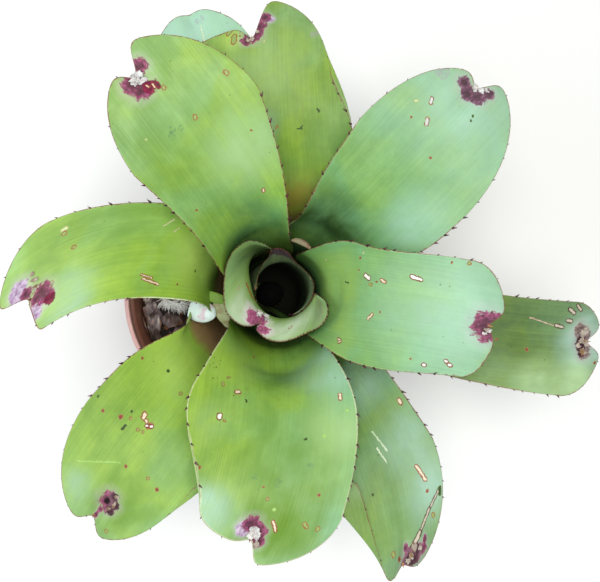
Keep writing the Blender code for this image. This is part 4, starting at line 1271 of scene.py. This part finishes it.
def crustSkin(name, base, patches):
    material, tree, shader = newMaterial(name, 0.85)
    place = objectPlace(tree)
    patch = useGroup(tree, patchGroup, Vector=place, Scale=330.0)
    pale = mixed(tree, between(tree, speckle(tree, place, 160, 3.0), 0.5, 0.66), base, patches)
    coloured(tree, shader, mixed(tree, times(tree, patch["Broad"], 0.4), pale, dryLook["dark"]))
    bumped(tree, shader, patch["Fine"], 0.25 * mm)
    return material


def makeDryTips():
    crust, scraps, points = bmesh.new(), bmesh.new(), bmesh.new()
    for leaf in leaves:
        look = dryTips.get(leaf["rank"])
        if not look:
            continue
        for bm, part in ((crust, "flakes"), (scraps, "scraps")):
            for k, (across, back, width, length, lift) in enumerate(look.get(part, ())):
                seat = leafFrame(leaf, tipArc(leaf) - back * mm, across * mm)
                addFlake(bm, seat, width * mm, length * mm, lift * mm, leaf["rank"] * 7 + k)
        long, rise = look["point"]
        place, _, up, normal = leafFrame(leaf, tipArc(leaf) - 1.5 * mm, 0)
        shares = [k / 7 for k in range(8)]
        path = [place + up * long * mm * s * (1 - 0.35 * rise * s) + normal * long * mm * rise * s * s
                for s in shares]
        addTube(points, path, [(1.0 - 0.92 * s) * 0.75 * mm for s in shares], flat=0.6)
    white = crustSkin("whiteCrustSkin", dryLook["white"], dryLook["pale"])
    tan = crustSkin("tanCrustSkin", dryLook["pale"], dryLook["tan"])
    brown = twoToneSkin("pointSkin", 0.5, 420, 3.0, (0.4, 0.62), dryLook["point"])
    for name, bm, skin in (("dryCrust", crust, white), ("dryScraps", scraps, tan),
                           ("dryPoints", points, brown)):
        dressPiece(closedPiece(name, bm), skin, 70, "leaf")


makeDryTips()
print("dry tips made")


# Rolled margins: sheath edges that have curled over and dried.

# The left edge of one leaf, rolled over between two places along it; lengths in mm.
roll = dict(
    rank=7, arcs=(84, 150), radius=0.4, thickness=0.34, turns=0.8, steps=40, section=18,
    pale="dbe6c0", blush="b88a6a", green="b9d08a",
)
# Loose curls: points of the middle line with the half width there, in mm, and how flat the curl lies.
curls = dict(
    waxy=dict(path=((-29.5, -7.6, 196.5, 4.4), (-26.0, -8.4, 197.5, 5.8), (-22.5, -9.0, 198, 6.3),
                    (-19.0, -9.3, 198, 5.9), (-16.6, -9.5, 197.5, 4.8), (-14.8, -9.6, 197, 3.3),
                    (-13.8, -9.6, 196.5, 1.3)),
              flat=0.3, pale="dce9ee", blush="c9a0b6", green="c6d8d2"),
    bladeEdge=dict(path=((-22.0, 2.0, 195.2, 1.6), (-19.0, 1.0, 196.4, 2.7), (-15.6, -0.2, 197.2, 3.1),
                         (-12.4, -1.2, 197.4, 3.0), (-9.6, -2.0, 196.8, 2.4), (-7.6, -2.4, 195.6, 1.2)),
                   flat=0.2, pale="78a038", blush="749634", green="759c36"),
    paleSheath=dict(path=((-12.6, -1.0, 195.6, 2.6), (-11.8, -4.0, 196, 4.2), (-10.7, -7.6, 195.6, 4.6),
                          (-9.4, -11.5, 194.8, 3.8), (-8.0, -15.0, 193.5, 2.6), (-6.6, -18.5, 192, 1.3),
                          (-5.8, -20.5, 191, 0.4)),
                    flat=0.2, pale="aaac88", blush="907c58", green="98a274"),
    dryEdge=dict(path=((31.4, 31.6, 232, 0.6), (33.5, 31.6, 233, 1.3), (36.5, 30.8, 233.5, 1.7),
                       (39.5, 29.2, 233.5, 1.5), (42.0, 27.2, 233, 0.7)),
                 flat=0.6, pale="767054", blush="6d3430", green="86704f"),
)


def rollSkin(name, look):
    material, tree, shader = newMaterial(name, 0.5)
    place = objectPlace(tree)
    patch = useGroup(tree, patchGroup, Vector=place, Scale=150.0)
    colour = mixed(tree, patch["Broad"], look["pale"], look["green"])
    blush = times(tree, between(tree, speckle(tree, place, 210, 3.0), 0.5, 0.66), 0.7)
    coloured(tree, shader, mixed(tree, blush, colour, look["blush"]))
    bumped(tree, shader, patch["Fine"], 0.1 * mm)
    return material


def makeRoll(name, look):
    grid = leafGrid(leaves[look["rank"] - 1])
    steps, section = look["steps"], look["section"]
    arcs = np.linspace(*look["arcs"], steps) * mm
    turn = plantPlace.to_3x3()

    def along(values):
        return np.stack([np.interp(arcs, grid["arc"][:, 0], values[:, 0, k]) for k in range(3)], -1)

    edge, normals = along(grid["middle"]), along(grid["normal"])
    tangents = np.gradient(edge, axis=0)
    bm = bmesh.new()
    rows = []
    for k in range(steps):
        normal = (turn @ Vector(normals[k])).normalized()
        outward = normal.cross(turn @ Vector(tangents[k])).normalized()
        radius = look["radius"] * mm * max(0.12, math.sin(math.pi * k / (steps - 1)) ** 0.45)
        radius *= 1 + 0.12 * math.sin(k * 0.9) + 0.08 * math.sin(k * 2.3)
        centre = plantPlace @ Vector(edge[k]) + normal * radius
        row = []
        for side in (1, -1):
            for s in range(section):
                share = s / (section - 1) if side > 0 else 1 - s / (section - 1)
                angle = -math.pi / 2 + math.tau * look["turns"] * share
                out = radius * (1 - 0.35 * share)
                out += side * look["thickness"] * mm / 2 * (1 - 0.6 * share)
                ray = outward * math.cos(angle) + normal * math.sin(angle)
                row.append(bm.verts.new(centre + ray * out))
        rows.append(row)
    joinRings(bm, rows)
    dressPiece(closedPiece(name, bm), rollSkin(name + "Skin", look), 50, "leaf")


def makeCurl(name, look):
    stations = np.array(look["path"]) * mm
    shares = np.linspace(0, 1, len(stations))
    line = throughPoints(shares, stations, np.linspace(0, 1, 40))
    bm = bmesh.new()
    path = [Vector(point[:3]) for point in line]
    radii = [max(0.3 * mm, point[3]) for point in line]
    addTube(bm, path, radii, sides=28, flat=look["flat"])
    for vert in bm.verts:
        vert.co += 0.15 * mm * noise.noise_vector(vert.co * 90)
    dressPiece(closedPiece(name, bm), rollSkin(name + "Skin", look), 70, "leaf")


makeRoll("paleEdgeRoll", roll)
for title, look in curls.items():
    makeCurl(title + "Curl", look)
print("rolled margins made")


# Pot: thin terracotta-coloured plastic, a collar under the lip, drain holes, a stepped foot.

pot = dict(
    height=130 * mm, lip=79.5 * mm, lipWidth=3 * mm, lipRound=0.95 * mm, collar=16 * mm, step=2.2 * mm,
    foot=57 * mm, wall=1.8 * mm, floor=2.4 * mm, floorRound=3 * mm, sides=160,
    holes=8, holeRadius=4.5 * mm, holeRing=38 * mm,
    # lipHighlight is a painted highlight over the upper part of the pot and its lip.
    outside="a8604a", faded="bd8a76", lipHighlight="dfb0b2", lime="c9b4a4",
    # The inside colours paint the inner wall darker than the outside, as painted shade, lighter near the rim.
    inside="7d5044", darkerInside="55352a", insideNearRim="96604f",
)


def potRadius(height, inside=0.0):
    top = pot["lip"] - pot["step"]
    return pot["foot"] + (top - pot["foot"]) * height / pot["height"] - inside


def rounded(corner, radius, low, high, steps=6):  # points of a turn about one corner, in degrees
    turns = [math.radians(low + (high - low) * k / steps) for k in range(steps + 1)]
    return [(corner[0] + radius * math.cos(turn), corner[1] + radius * math.sin(turn)) for turn in turns]


def potOutline():
    collar = pot["height"] - pot["collar"]
    soft = pot["lipRound"]
    inner = pot["lip"] - pot["lipWidth"]
    floorIn = potRadius(pot["floor"], pot["wall"]) - pot["floorRound"]
    line = [(0, pot["floor"]), (0.5 * floorIn, pot["floor"])]
    line += rounded((floorIn, pot["floor"] + pot["floorRound"]), pot["floorRound"], -90, -8)
    line += [(potRadius(h, pot["wall"]), h) for h in np.linspace(8 * mm, collar - 1 * mm, 14)]
    line += [(inner - 0.4 * mm, collar + 4 * mm), (inner, pot["height"] - 3 * mm)]
    line += rounded((inner + soft, pot["height"] - soft), soft, 180, 90)
    line += rounded((pot["lip"] - soft, pot["height"] - soft), soft, 90, 0)
    line += [(pot["lip"] - 0.2 * mm, pot["height"] - 8 * mm)]
    line += rounded((pot["lip"] - 1.4 * mm, collar + 0.6 * mm), 0.6 * mm, 0, -90)
    line += rounded((potRadius(collar) + 0.5 * mm, collar - 0.5 * mm), 0.5 * mm, 90, 180, 3)
    line += [(potRadius(h), h) for h in np.linspace(collar - 2 * mm, 3 * mm, 16)]
    line += rounded((pot["foot"] - 1.6 * mm, 1.5 * mm), 1.5 * mm, 0, -90)
    line += [(0.6 * pot["foot"], 0), (0, 0)]
    return line


def lathe(name, outline, sides):  # the outline starts and ends on the axis
    bm = bmesh.new()
    turns = [math.tau * k / sides for k in range(sides)]
    start = bm.verts.new((0, 0, outline[0][1]))
    rings = [[bm.verts.new((radius * math.cos(turn), radius * math.sin(turn), height)) for turn in turns]
             for radius, height in outline[1:-1]]
    end = bm.verts.new((0, 0, outline[-1][1]))
    for k in range(sides):
        bm.faces.new((start, rings[0][(k + 1) % sides], rings[0][k]))
    joinRings(bm, rings, closed=False)
    for k in range(sides):
        bm.faces.new((rings[-1][k], rings[-1][(k + 1) % sides], end))
    return closedPiece(name, bm)


def potSkin():
    material, tree, shader = newMaterial("potPlastic", 0.42)
    place = objectPlace(tree)
    x, y, height = xyz(tree, place)
    slant = (pot["lip"] - pot["step"] - pot["foot"]) / pot["height"]
    wall = maths(tree, "MULTIPLY_ADD", height, slant, pot["foot"] - 1.0 * mm)
    wall = plus(tree, wall, between(tree, height, 112 * mm, 116 * mm, 0.0, 1.3 * mm))
    isInside = between(tree, minus(tree, flatLength(tree, x, y), wall), 0.0, -0.6 * mm)
    isInside = times(tree, isInside, between(tree, height, 128.8 * mm, 125 * mm))
    patch = useGroup(tree, patchGroup, Vector=place, Scale=18.0)
    colour = mixed(tree, patch["Broad"], pot["outside"], pot["faded"])
    # The upper part turns lighter and pinker towards the lip: a painted highlight.
    high = times(tree, between(tree, height, 112 * mm, 130 * mm), 0.75)
    colour = mixed(tree, high, colour, pot["lipHighlight"])
    lime = speckle(tree, stretched(tree, place, 1, 1, 2.5), 90, 5.0, 0.65)
    lime = times(tree, between(tree, lime, 0.56, 0.75), 0.5)
    colour = mixed(tree, lime, colour, pot["lime"])
    # The inner wall: darker than the outside as painted shade, darker in patches, lighter from 110 to 122 mm
    # up.
    darkerInside = mixed(tree, patch["Broad"], pot["inside"], pot["darkerInside"])
    darkerInside = mixed(tree, times(tree, lime, 0.8), darkerInside, pot["lime"])
    darkerInside = mixed(tree, between(tree, height, 110 * mm, 122 * mm), darkerInside, pot["insideNearRim"])
    coloured(tree, shader, mixed(tree, isInside, colour, darkerInside))
    feed(tree, shader.inputs["Roughness"], maths(tree, "MULTIPLY_ADD", patch["Fine"], 0.18, 0.36))
    bumped(tree, shader, patch["Fine"], 0.05 * mm, 0.6)
    return material


def makePot():
    piece = lathe("plasticPot", potOutline(), pot["sides"])
    drills = []
    for k in range(pot["holes"]):
        bm = bmesh.new()
        bmesh.ops.create_cone(bm, cap_ends=True, segments=32, radius1=pot["holeRadius"],
                              radius2=pot["holeRadius"], depth=10 * mm)
        drill = bpy.data.objects.new("drill", meshFromBmesh("drill", bm))
        turn = math.tau * k / pot["holes"]
        drill.location = (pot["holeRing"] * math.cos(turn), pot["holeRing"] * math.sin(turn), 0)
        drills.append(drill)
    cutAway(piece, drills)
    dressPiece(piece, potSkin(), 35, "terracotta plastic", "pot")


makePot()
print("pot made")


# Bark: a bed that fills the pot, with loose broken chips of bark on its top.

bark = dict(
    level=107 * mm, seed=23, chips=330, kinds=9, ring=(3 * mm, 72 * mm), stemRoom=12 * mm,
    # Chips placed one by one: x, y, z, length, width and thickness in mm, then turn and tilt in degrees.
    slabs=((-62.0, -20.5, 111.0, 20, 9.5, 2.4, 80, 16), (-48.4, -16.4, 110.4, 11, 9, 3.6, 20, -18),
           (-37.2, -12.0, 110.3, 14, 5.5, 3.4, 75, 14), (-66, -8.5, 109.2, 13, 8, 3.0, 40, -10),
           (-72, -20, 108.8, 15, 7, 2.8, 105, 16), (-55, 5, 109.4, 16, 9, 3.0, 10, 10)),
    shades=(0.36, 0.47, 0.57, 0.66), bed=("120c0c", "2a1f1d", "3d2e2b", "54423d"),
    loose=("1e1618", "614d47", "9c8a90", "d2c3be"), flakes=("806b61", "b0998e", "cbb9b1", "e6dad4"),
    broken="a3603a",
)


def barkSkin(name, colours):
    material, tree, shader = newMaterial(name, 0.88)
    place = objectPlace(tree)
    grain = speckle(tree, stretched(tree, place, 1.0, 0.35, 1.0), 520, 5.0, 0.65)
    colour = ramped(tree, speckle(tree, place, 70, 2.0), list(zip(bark["shades"], colours)))
    facing = xyz(tree, tree.nodes.new("ShaderNodeNewGeometry").outputs["True Normal"])[2]
    orange = between(tree, speckle(tree, place, 130, 3.0), 0.6, 0.68)
    orange = maths(tree, "MAXIMUM", between(tree, facing, 0.75, 0.45), orange)
    colour = mixed(tree, times(tree, orange, 0.7), colour, bark["broken"])
    coloured(tree, shader, scaledBy(tree, colour, between(tree, grain, 0.3, 0.7, 0.35, 1.35)))
    bumped(tree, shader, grain, 1.0 * mm)
    return material


def chipShape(rng, size):  # a broken flake: a hull of jittered box points with torn corners
    bm = bmesh.new()
    for _ in range(13):
        corner = [rng.uniform(-1, 1) for _ in range(3)]
        far = max(abs(corner[0]), abs(corner[1]))
        corner = [corner[0] / far * rng.uniform(0.75, 1), corner[1] / far * rng.uniform(0.75, 1),
                  math.copysign(rng.uniform(0.5, 1), corner[2])]
        bm.verts.new([0.5 * size[k] * corner[k] for k in range(3)])
    hull = bmesh.ops.convex_hull(bm, input=bm.verts[:])
    spare = [v for v in hull["geom_interior"] if isinstance(v, bmesh.types.BMVert)]
    spare += [v for v in hull["geom_unused"] if isinstance(v, bmesh.types.BMVert)]
    bmesh.ops.delete(bm, geom=list(set(spare)), context="VERTS")
    bmesh.ops.recalc_face_normals(bm, faces=bm.faces[:])
    return bm


def chipTree(chips):  # picks one of the chip shapes for each point
    def shapes(tree):
        return addNode(tree, "GeometryNodeCollectionInfo", chips, True, True).outputs[0]

    return instanceTree("barkChips", shapes, bark["kinds"])


def chipSeats(rng):
    seats = []
    while len(seats) < bark["chips"]:
        reach = math.sqrt(rng.uniform(bark["ring"][0] ** 2, bark["ring"][1] ** 2))
        turn = rng.uniform(0, math.tau)
        spot = Vector((reach * math.cos(turn), reach * math.sin(turn), 0))
        if (spot.xy - Vector(plant["foot"]).xy).length < bark["stemRoom"]:
            continue
        size = rng.uniform(0.45, 1.15)
        spot.z = bark["level"] + rng.uniform(-4.0, -0.6) * mm
        tilt = Euler((rng.uniform(-0.4, 0.4), rng.uniform(-0.4, 0.4), rng.uniform(0, math.tau))).to_matrix()
        seats.append((spot, tilt @ Vector((0, 0, 1)), tilt @ Vector((1, 0, 0)), size))
    return seats


def addSlabs(bm):  # the few chips that show between the leaves
    for k, (x, y, z, length, width, thick, turn, tilt) in enumerate(bark["slabs"]):
        chip = chipShape(random.Random(bark["seed"] + k), (length * mm, width * mm, thick * mm))
        bmesh.ops.triangulate(chip, faces=chip.faces[:])
        bmesh.ops.subdivide_edges(chip, edges=chip.edges[:], cuts=5, use_grid_fill=True)
        for vert in chip.verts:
            vert.co += 0.9 * mm * noise.noise_vector(vert.co * 260 + Vector((k, 0, 0)))
        turned = Euler((math.radians(tilt), 0, math.radians(turn))).to_matrix().to_4x4()
        place = Matrix.Translation((x * mm, y * mm, z * mm)) @ turned
        bmesh.ops.transform(chip, matrix=place, verts=chip.verts[:])
        bm.from_mesh(meshFromBmesh("slab", chip))


def barkOutline():
    inside = pot["wall"] + 0.5 * mm
    top = bark["level"] - 3.4 * mm
    low = pot["floor"] + 0.4 * mm
    corner = potRadius(low + 4 * mm, inside)
    line = [(0, low), (corner - 4 * mm, low), (corner, low + 4 * mm)]
    line += [(potRadius(h, inside), h) for h in np.linspace(low + 12 * mm, top - 2 * mm, 8)]
    line += [(potRadius(top, inside) - 2 * mm, top)]
    line += [(r, top) for r in np.linspace(potRadius(top, inside) - 5 * mm, 4 * mm, 26)] + [(0, top)]
    return line


def makeBed():
    bed = lathe("barkBed", barkOutline(), 96)
    for vert in bed.data.vertices:
        if vert.co.z > bark["level"] - 4.5 * mm and vert.co.xy.length < 70 * mm:
            vert.co.z += 1.6 * mm * noise.fractal(vert.co * 90, 1.0, 2.0, 4)
    dressPiece(bed, barkSkin("barkBedSkin", bark["bed"]), 60, "bark", "bark_mix")


def makeChips():
    rng = random.Random(bark["seed"])
    skin = barkSkin("looseBark", bark["loose"])
    shapes = []
    for k in range(bark["kinds"]):
        size = (rng.uniform(11, 22) * mm, rng.uniform(7, 13) * mm, rng.uniform(1.8, 3.4) * mm)
        mesh = meshFromBmesh(f"chipShape{k}", chipShape(rng, size))
        shapes.append(bpy.data.objects.new(f"chipShape{k}", mesh))
    chips = newCollection("chipShapes", shapes)
    piece = instanced("barkChips", chipSeats(rng), chipTree(chips), bark["seed"], 1.0, skin)
    clearAway(chips)
    joined = bmesh.new()
    joined.from_mesh(piece.data)
    loose = len(joined.faces)
    addSlabs(joined)
    joined.faces.index_update()
    for vert in joined.verts:  # none may stand in the pot's wall
        room = potRadius(vert.co.z, pot["wall"] + 0.7 * mm)
        if vert.co.xy.length > room:
            vert.co.xy *= room / vert.co.xy.length
    for face in joined.faces:
        face.material_index = int(face.index >= loose)
    joined.to_mesh(piece.data)
    joined.free()
    paintPiece(piece, skin)
    piece.data.materials.append(barkSkin("flakeSkin", bark["flakes"]))
    piece.data.shade_flat()
    handOver(piece, "bark")


makeBed()
makeChips()
print("bark made")


# Stem: the stub that the leaves grow from, ringed by old leaf scars.

stem = dict(
    radius=8.3 * mm, top=36 * mm, root=-34 * mm, scarPitch=4.6 * mm, scarDepth=0.35 * mm,
    # tankShade: the top of the stem, at the bottom of the tank, painted near black as shade.
    brown="4a3a22", green="6f7a3a", scar="2c2016", tankShade="040404",
)


def stemSkin():
    material, tree, shader = newMaterial("stemSkin", 0.8)
    place = objectPlace(tree)
    patch = useGroup(tree, patchGroup, Vector=stretched(tree, place, 1, 1, 3), Scale=70.0)
    colour = mixed(tree, patch["Broad"], stem["brown"], stem["green"])
    colour = mixed(tree, times(tree, patch["Fine"], 0.7), colour, stem["scar"])
    # The stem's top is painted near black: the shade at the bottom of the tank.
    top = between(tree, xyz(tree, place)[2], 126 * mm, 132 * mm)
    coloured(tree, shader, mixed(tree, top, colour, stem["tankShade"]))
    shader.inputs["Specular IOR Level"].default_value = 0.1
    bumped(tree, shader, patch["Fine"], 0.4 * mm)
    return material


def makeStem():
    line = [(0, stem["root"])]
    for height in np.linspace(stem["root"], stem["top"], 90)[1:-1]:
        end = min(1.0, math.sqrt(max(0.0, (stem["top"] - height) / (5 * mm))),
                  math.sqrt(max(0.0, (height - stem["root"]) / (9 * mm))))
        ring = stem["scarDepth"] * math.cos(math.tau * height / stem["scarPitch"])
        line.append((max(0.5 * mm, (stem["radius"] - stem["scarDepth"] + ring) * end), height))
    line.append((0, stem["top"]))
    piece = lathe("leafStem", line, 48)
    piece.data.transform(plantPlace)
    dressPiece(piece, stemSkin(), 50, "stem", "stem")


makeStem()
print("stem made")


# Fibre tuft: loose wavy strands, fanned out from one knot.

tuft = dict(
    place=(-56.5 * mm, -1.5 * mm), spread=(11 * mm, -4.5 * mm, 0), lean=(-95, -20), seat=111.4 * mm, seed=31,
    strands=190, reach=(9.5 * mm, 8.0 * mm), width=(0.25 * mm, 0.6 * mm), rise=3.4 * mm,
    pale="fbf9f6", grey="dcd8d8", brown="8a776c",
)


def fibreSkin():
    material, tree, shader = newMaterial("fibreSkin", 0.9)
    place = objectPlace(tree)
    patch = useGroup(tree, patchGroup, Vector=place, Scale=240.0)
    colour = mixed(tree, patch["Broad"], tuft["pale"], tuft["grey"])
    low = times(tree, between(tree, xyz(tree, place)[2], 111.5 * mm, 109.5 * mm), 0.45)
    coloured(tree, shader, mixed(tree, low, colour, tuft["brown"]))
    return material


def makeTuft():
    rng = random.Random(tuft["seed"])
    bm = bmesh.new()
    shares = [k / 9 for k in range(10)]
    for _ in range(tuft["strands"]):
        along = rng.uniform(0, 1)
        turn = math.radians(rng.gauss(tuft["lean"][0] + (tuft["lean"][1] - tuft["lean"][0]) * along, 28))
        away = Vector((tuft["reach"][0] * math.cos(turn), tuft["reach"][1] * math.sin(turn), 0))
        long = rng.uniform(0.45, 1.0)
        start = Vector((*tuft["place"], tuft["seat"])) + Vector(tuft["spread"]) * along
        start.z += rng.uniform(-0.6, 1.4) * mm
        sway = Vector((-away.y, away.x, 0)).normalized() * rng.uniform(-1.8, 1.8) * mm
        rise = rng.uniform(-0.5, 1) * tuft["rise"]
        waves, phase = rng.uniform(3, 9), rng.uniform(0, math.tau)
        path = []
        for s in shares:
            spot = start + away * long * s + sway * (s * s + 0.2 * math.sin(waves * s))
            spot.z += rise * math.sin(2.2 * s) + 0.35 * mm * math.sin(waves * s + phase)
            path.append(spot)
        thick = rng.uniform(*tuft["width"])
        addTube(bm, path, [thick * (1.1 - 0.9 * s) for s in shares], sides=5)
    dressPiece(closedPiece("fibreStrands", bm), fibreSkin(), 80, "pale fibre", "fibre_tuft")


makeTuft()
print("tuft made")


# Studio: pale floor, soft light, and the camera straight above as in the photograph.

studio = dict(
    camera=(36.1 * mm, 3.3 * mm, 825 * mm), lens=63.48,
    window=dict(place=(-0.95, -0.3, 1.15), size=1.0, power=6.5, colour=(0.78, 0.9, 1.0)),
    ceiling=dict(place=(0.1, 0.04, 1.75), size=0.7, power=20, colour=(1.0, 0.98, 0.93)),
    sky=0.48, skyColour=(0.95, 0.98, 1.0, 1), floor=((0.9, 0.9, 0.9, 1), (0.93, 0.93, 0.92, 1)),
)


def makeLight(name, look):
    lamp = bpy.data.lights.new(name, "AREA")
    lamp.size = look["size"]
    lamp.energy = look["power"]
    lamp.color = look["colour"]
    light = newObject(name, lamp)
    light.location = look["place"]
    light.rotation_euler = (Vector((0, 0, 0.2)) - Vector(look["place"])).to_track_quat("-Z", "Y").to_euler()


def makeStudio():
    bm = bmesh.new()
    bmesh.ops.create_grid(bm, x_segments=8, y_segments=8, size=2.5)
    floor = newObject("studioFloor", meshFromBmesh("studioFloor", bm))
    material, tree, shader = newMaterial("paleFloor", 0.7)
    coloured(tree, shader, mixed(tree, speckle(tree, objectPlace(tree), 3.0), *studio["floor"]))
    paintPiece(floor, material)
    makeLight("windowLight", studio["window"])
    makeLight("ceilingLight", studio["ceiling"])
    world = bpy.data.worlds.new("softRoom")
    world.use_nodes = True
    sky = world.node_tree.nodes["Background"]
    sky.inputs["Color"].default_value = studio["skyColour"]
    sky.inputs["Strength"].default_value = studio["sky"]
    bpy.context.scene.world = world
    lens = bpy.data.cameras.new("photoCamera")
    lens.lens = studio["lens"]
    lens.clip_start = 0.01
    camera = newObject("photoCamera", lens)
    camera.location = studio["camera"]
    bpy.context.scene.camera = camera
    bpy.context.scene.view_settings.view_transform = "Standard"


makeStudio()
print("studio made")
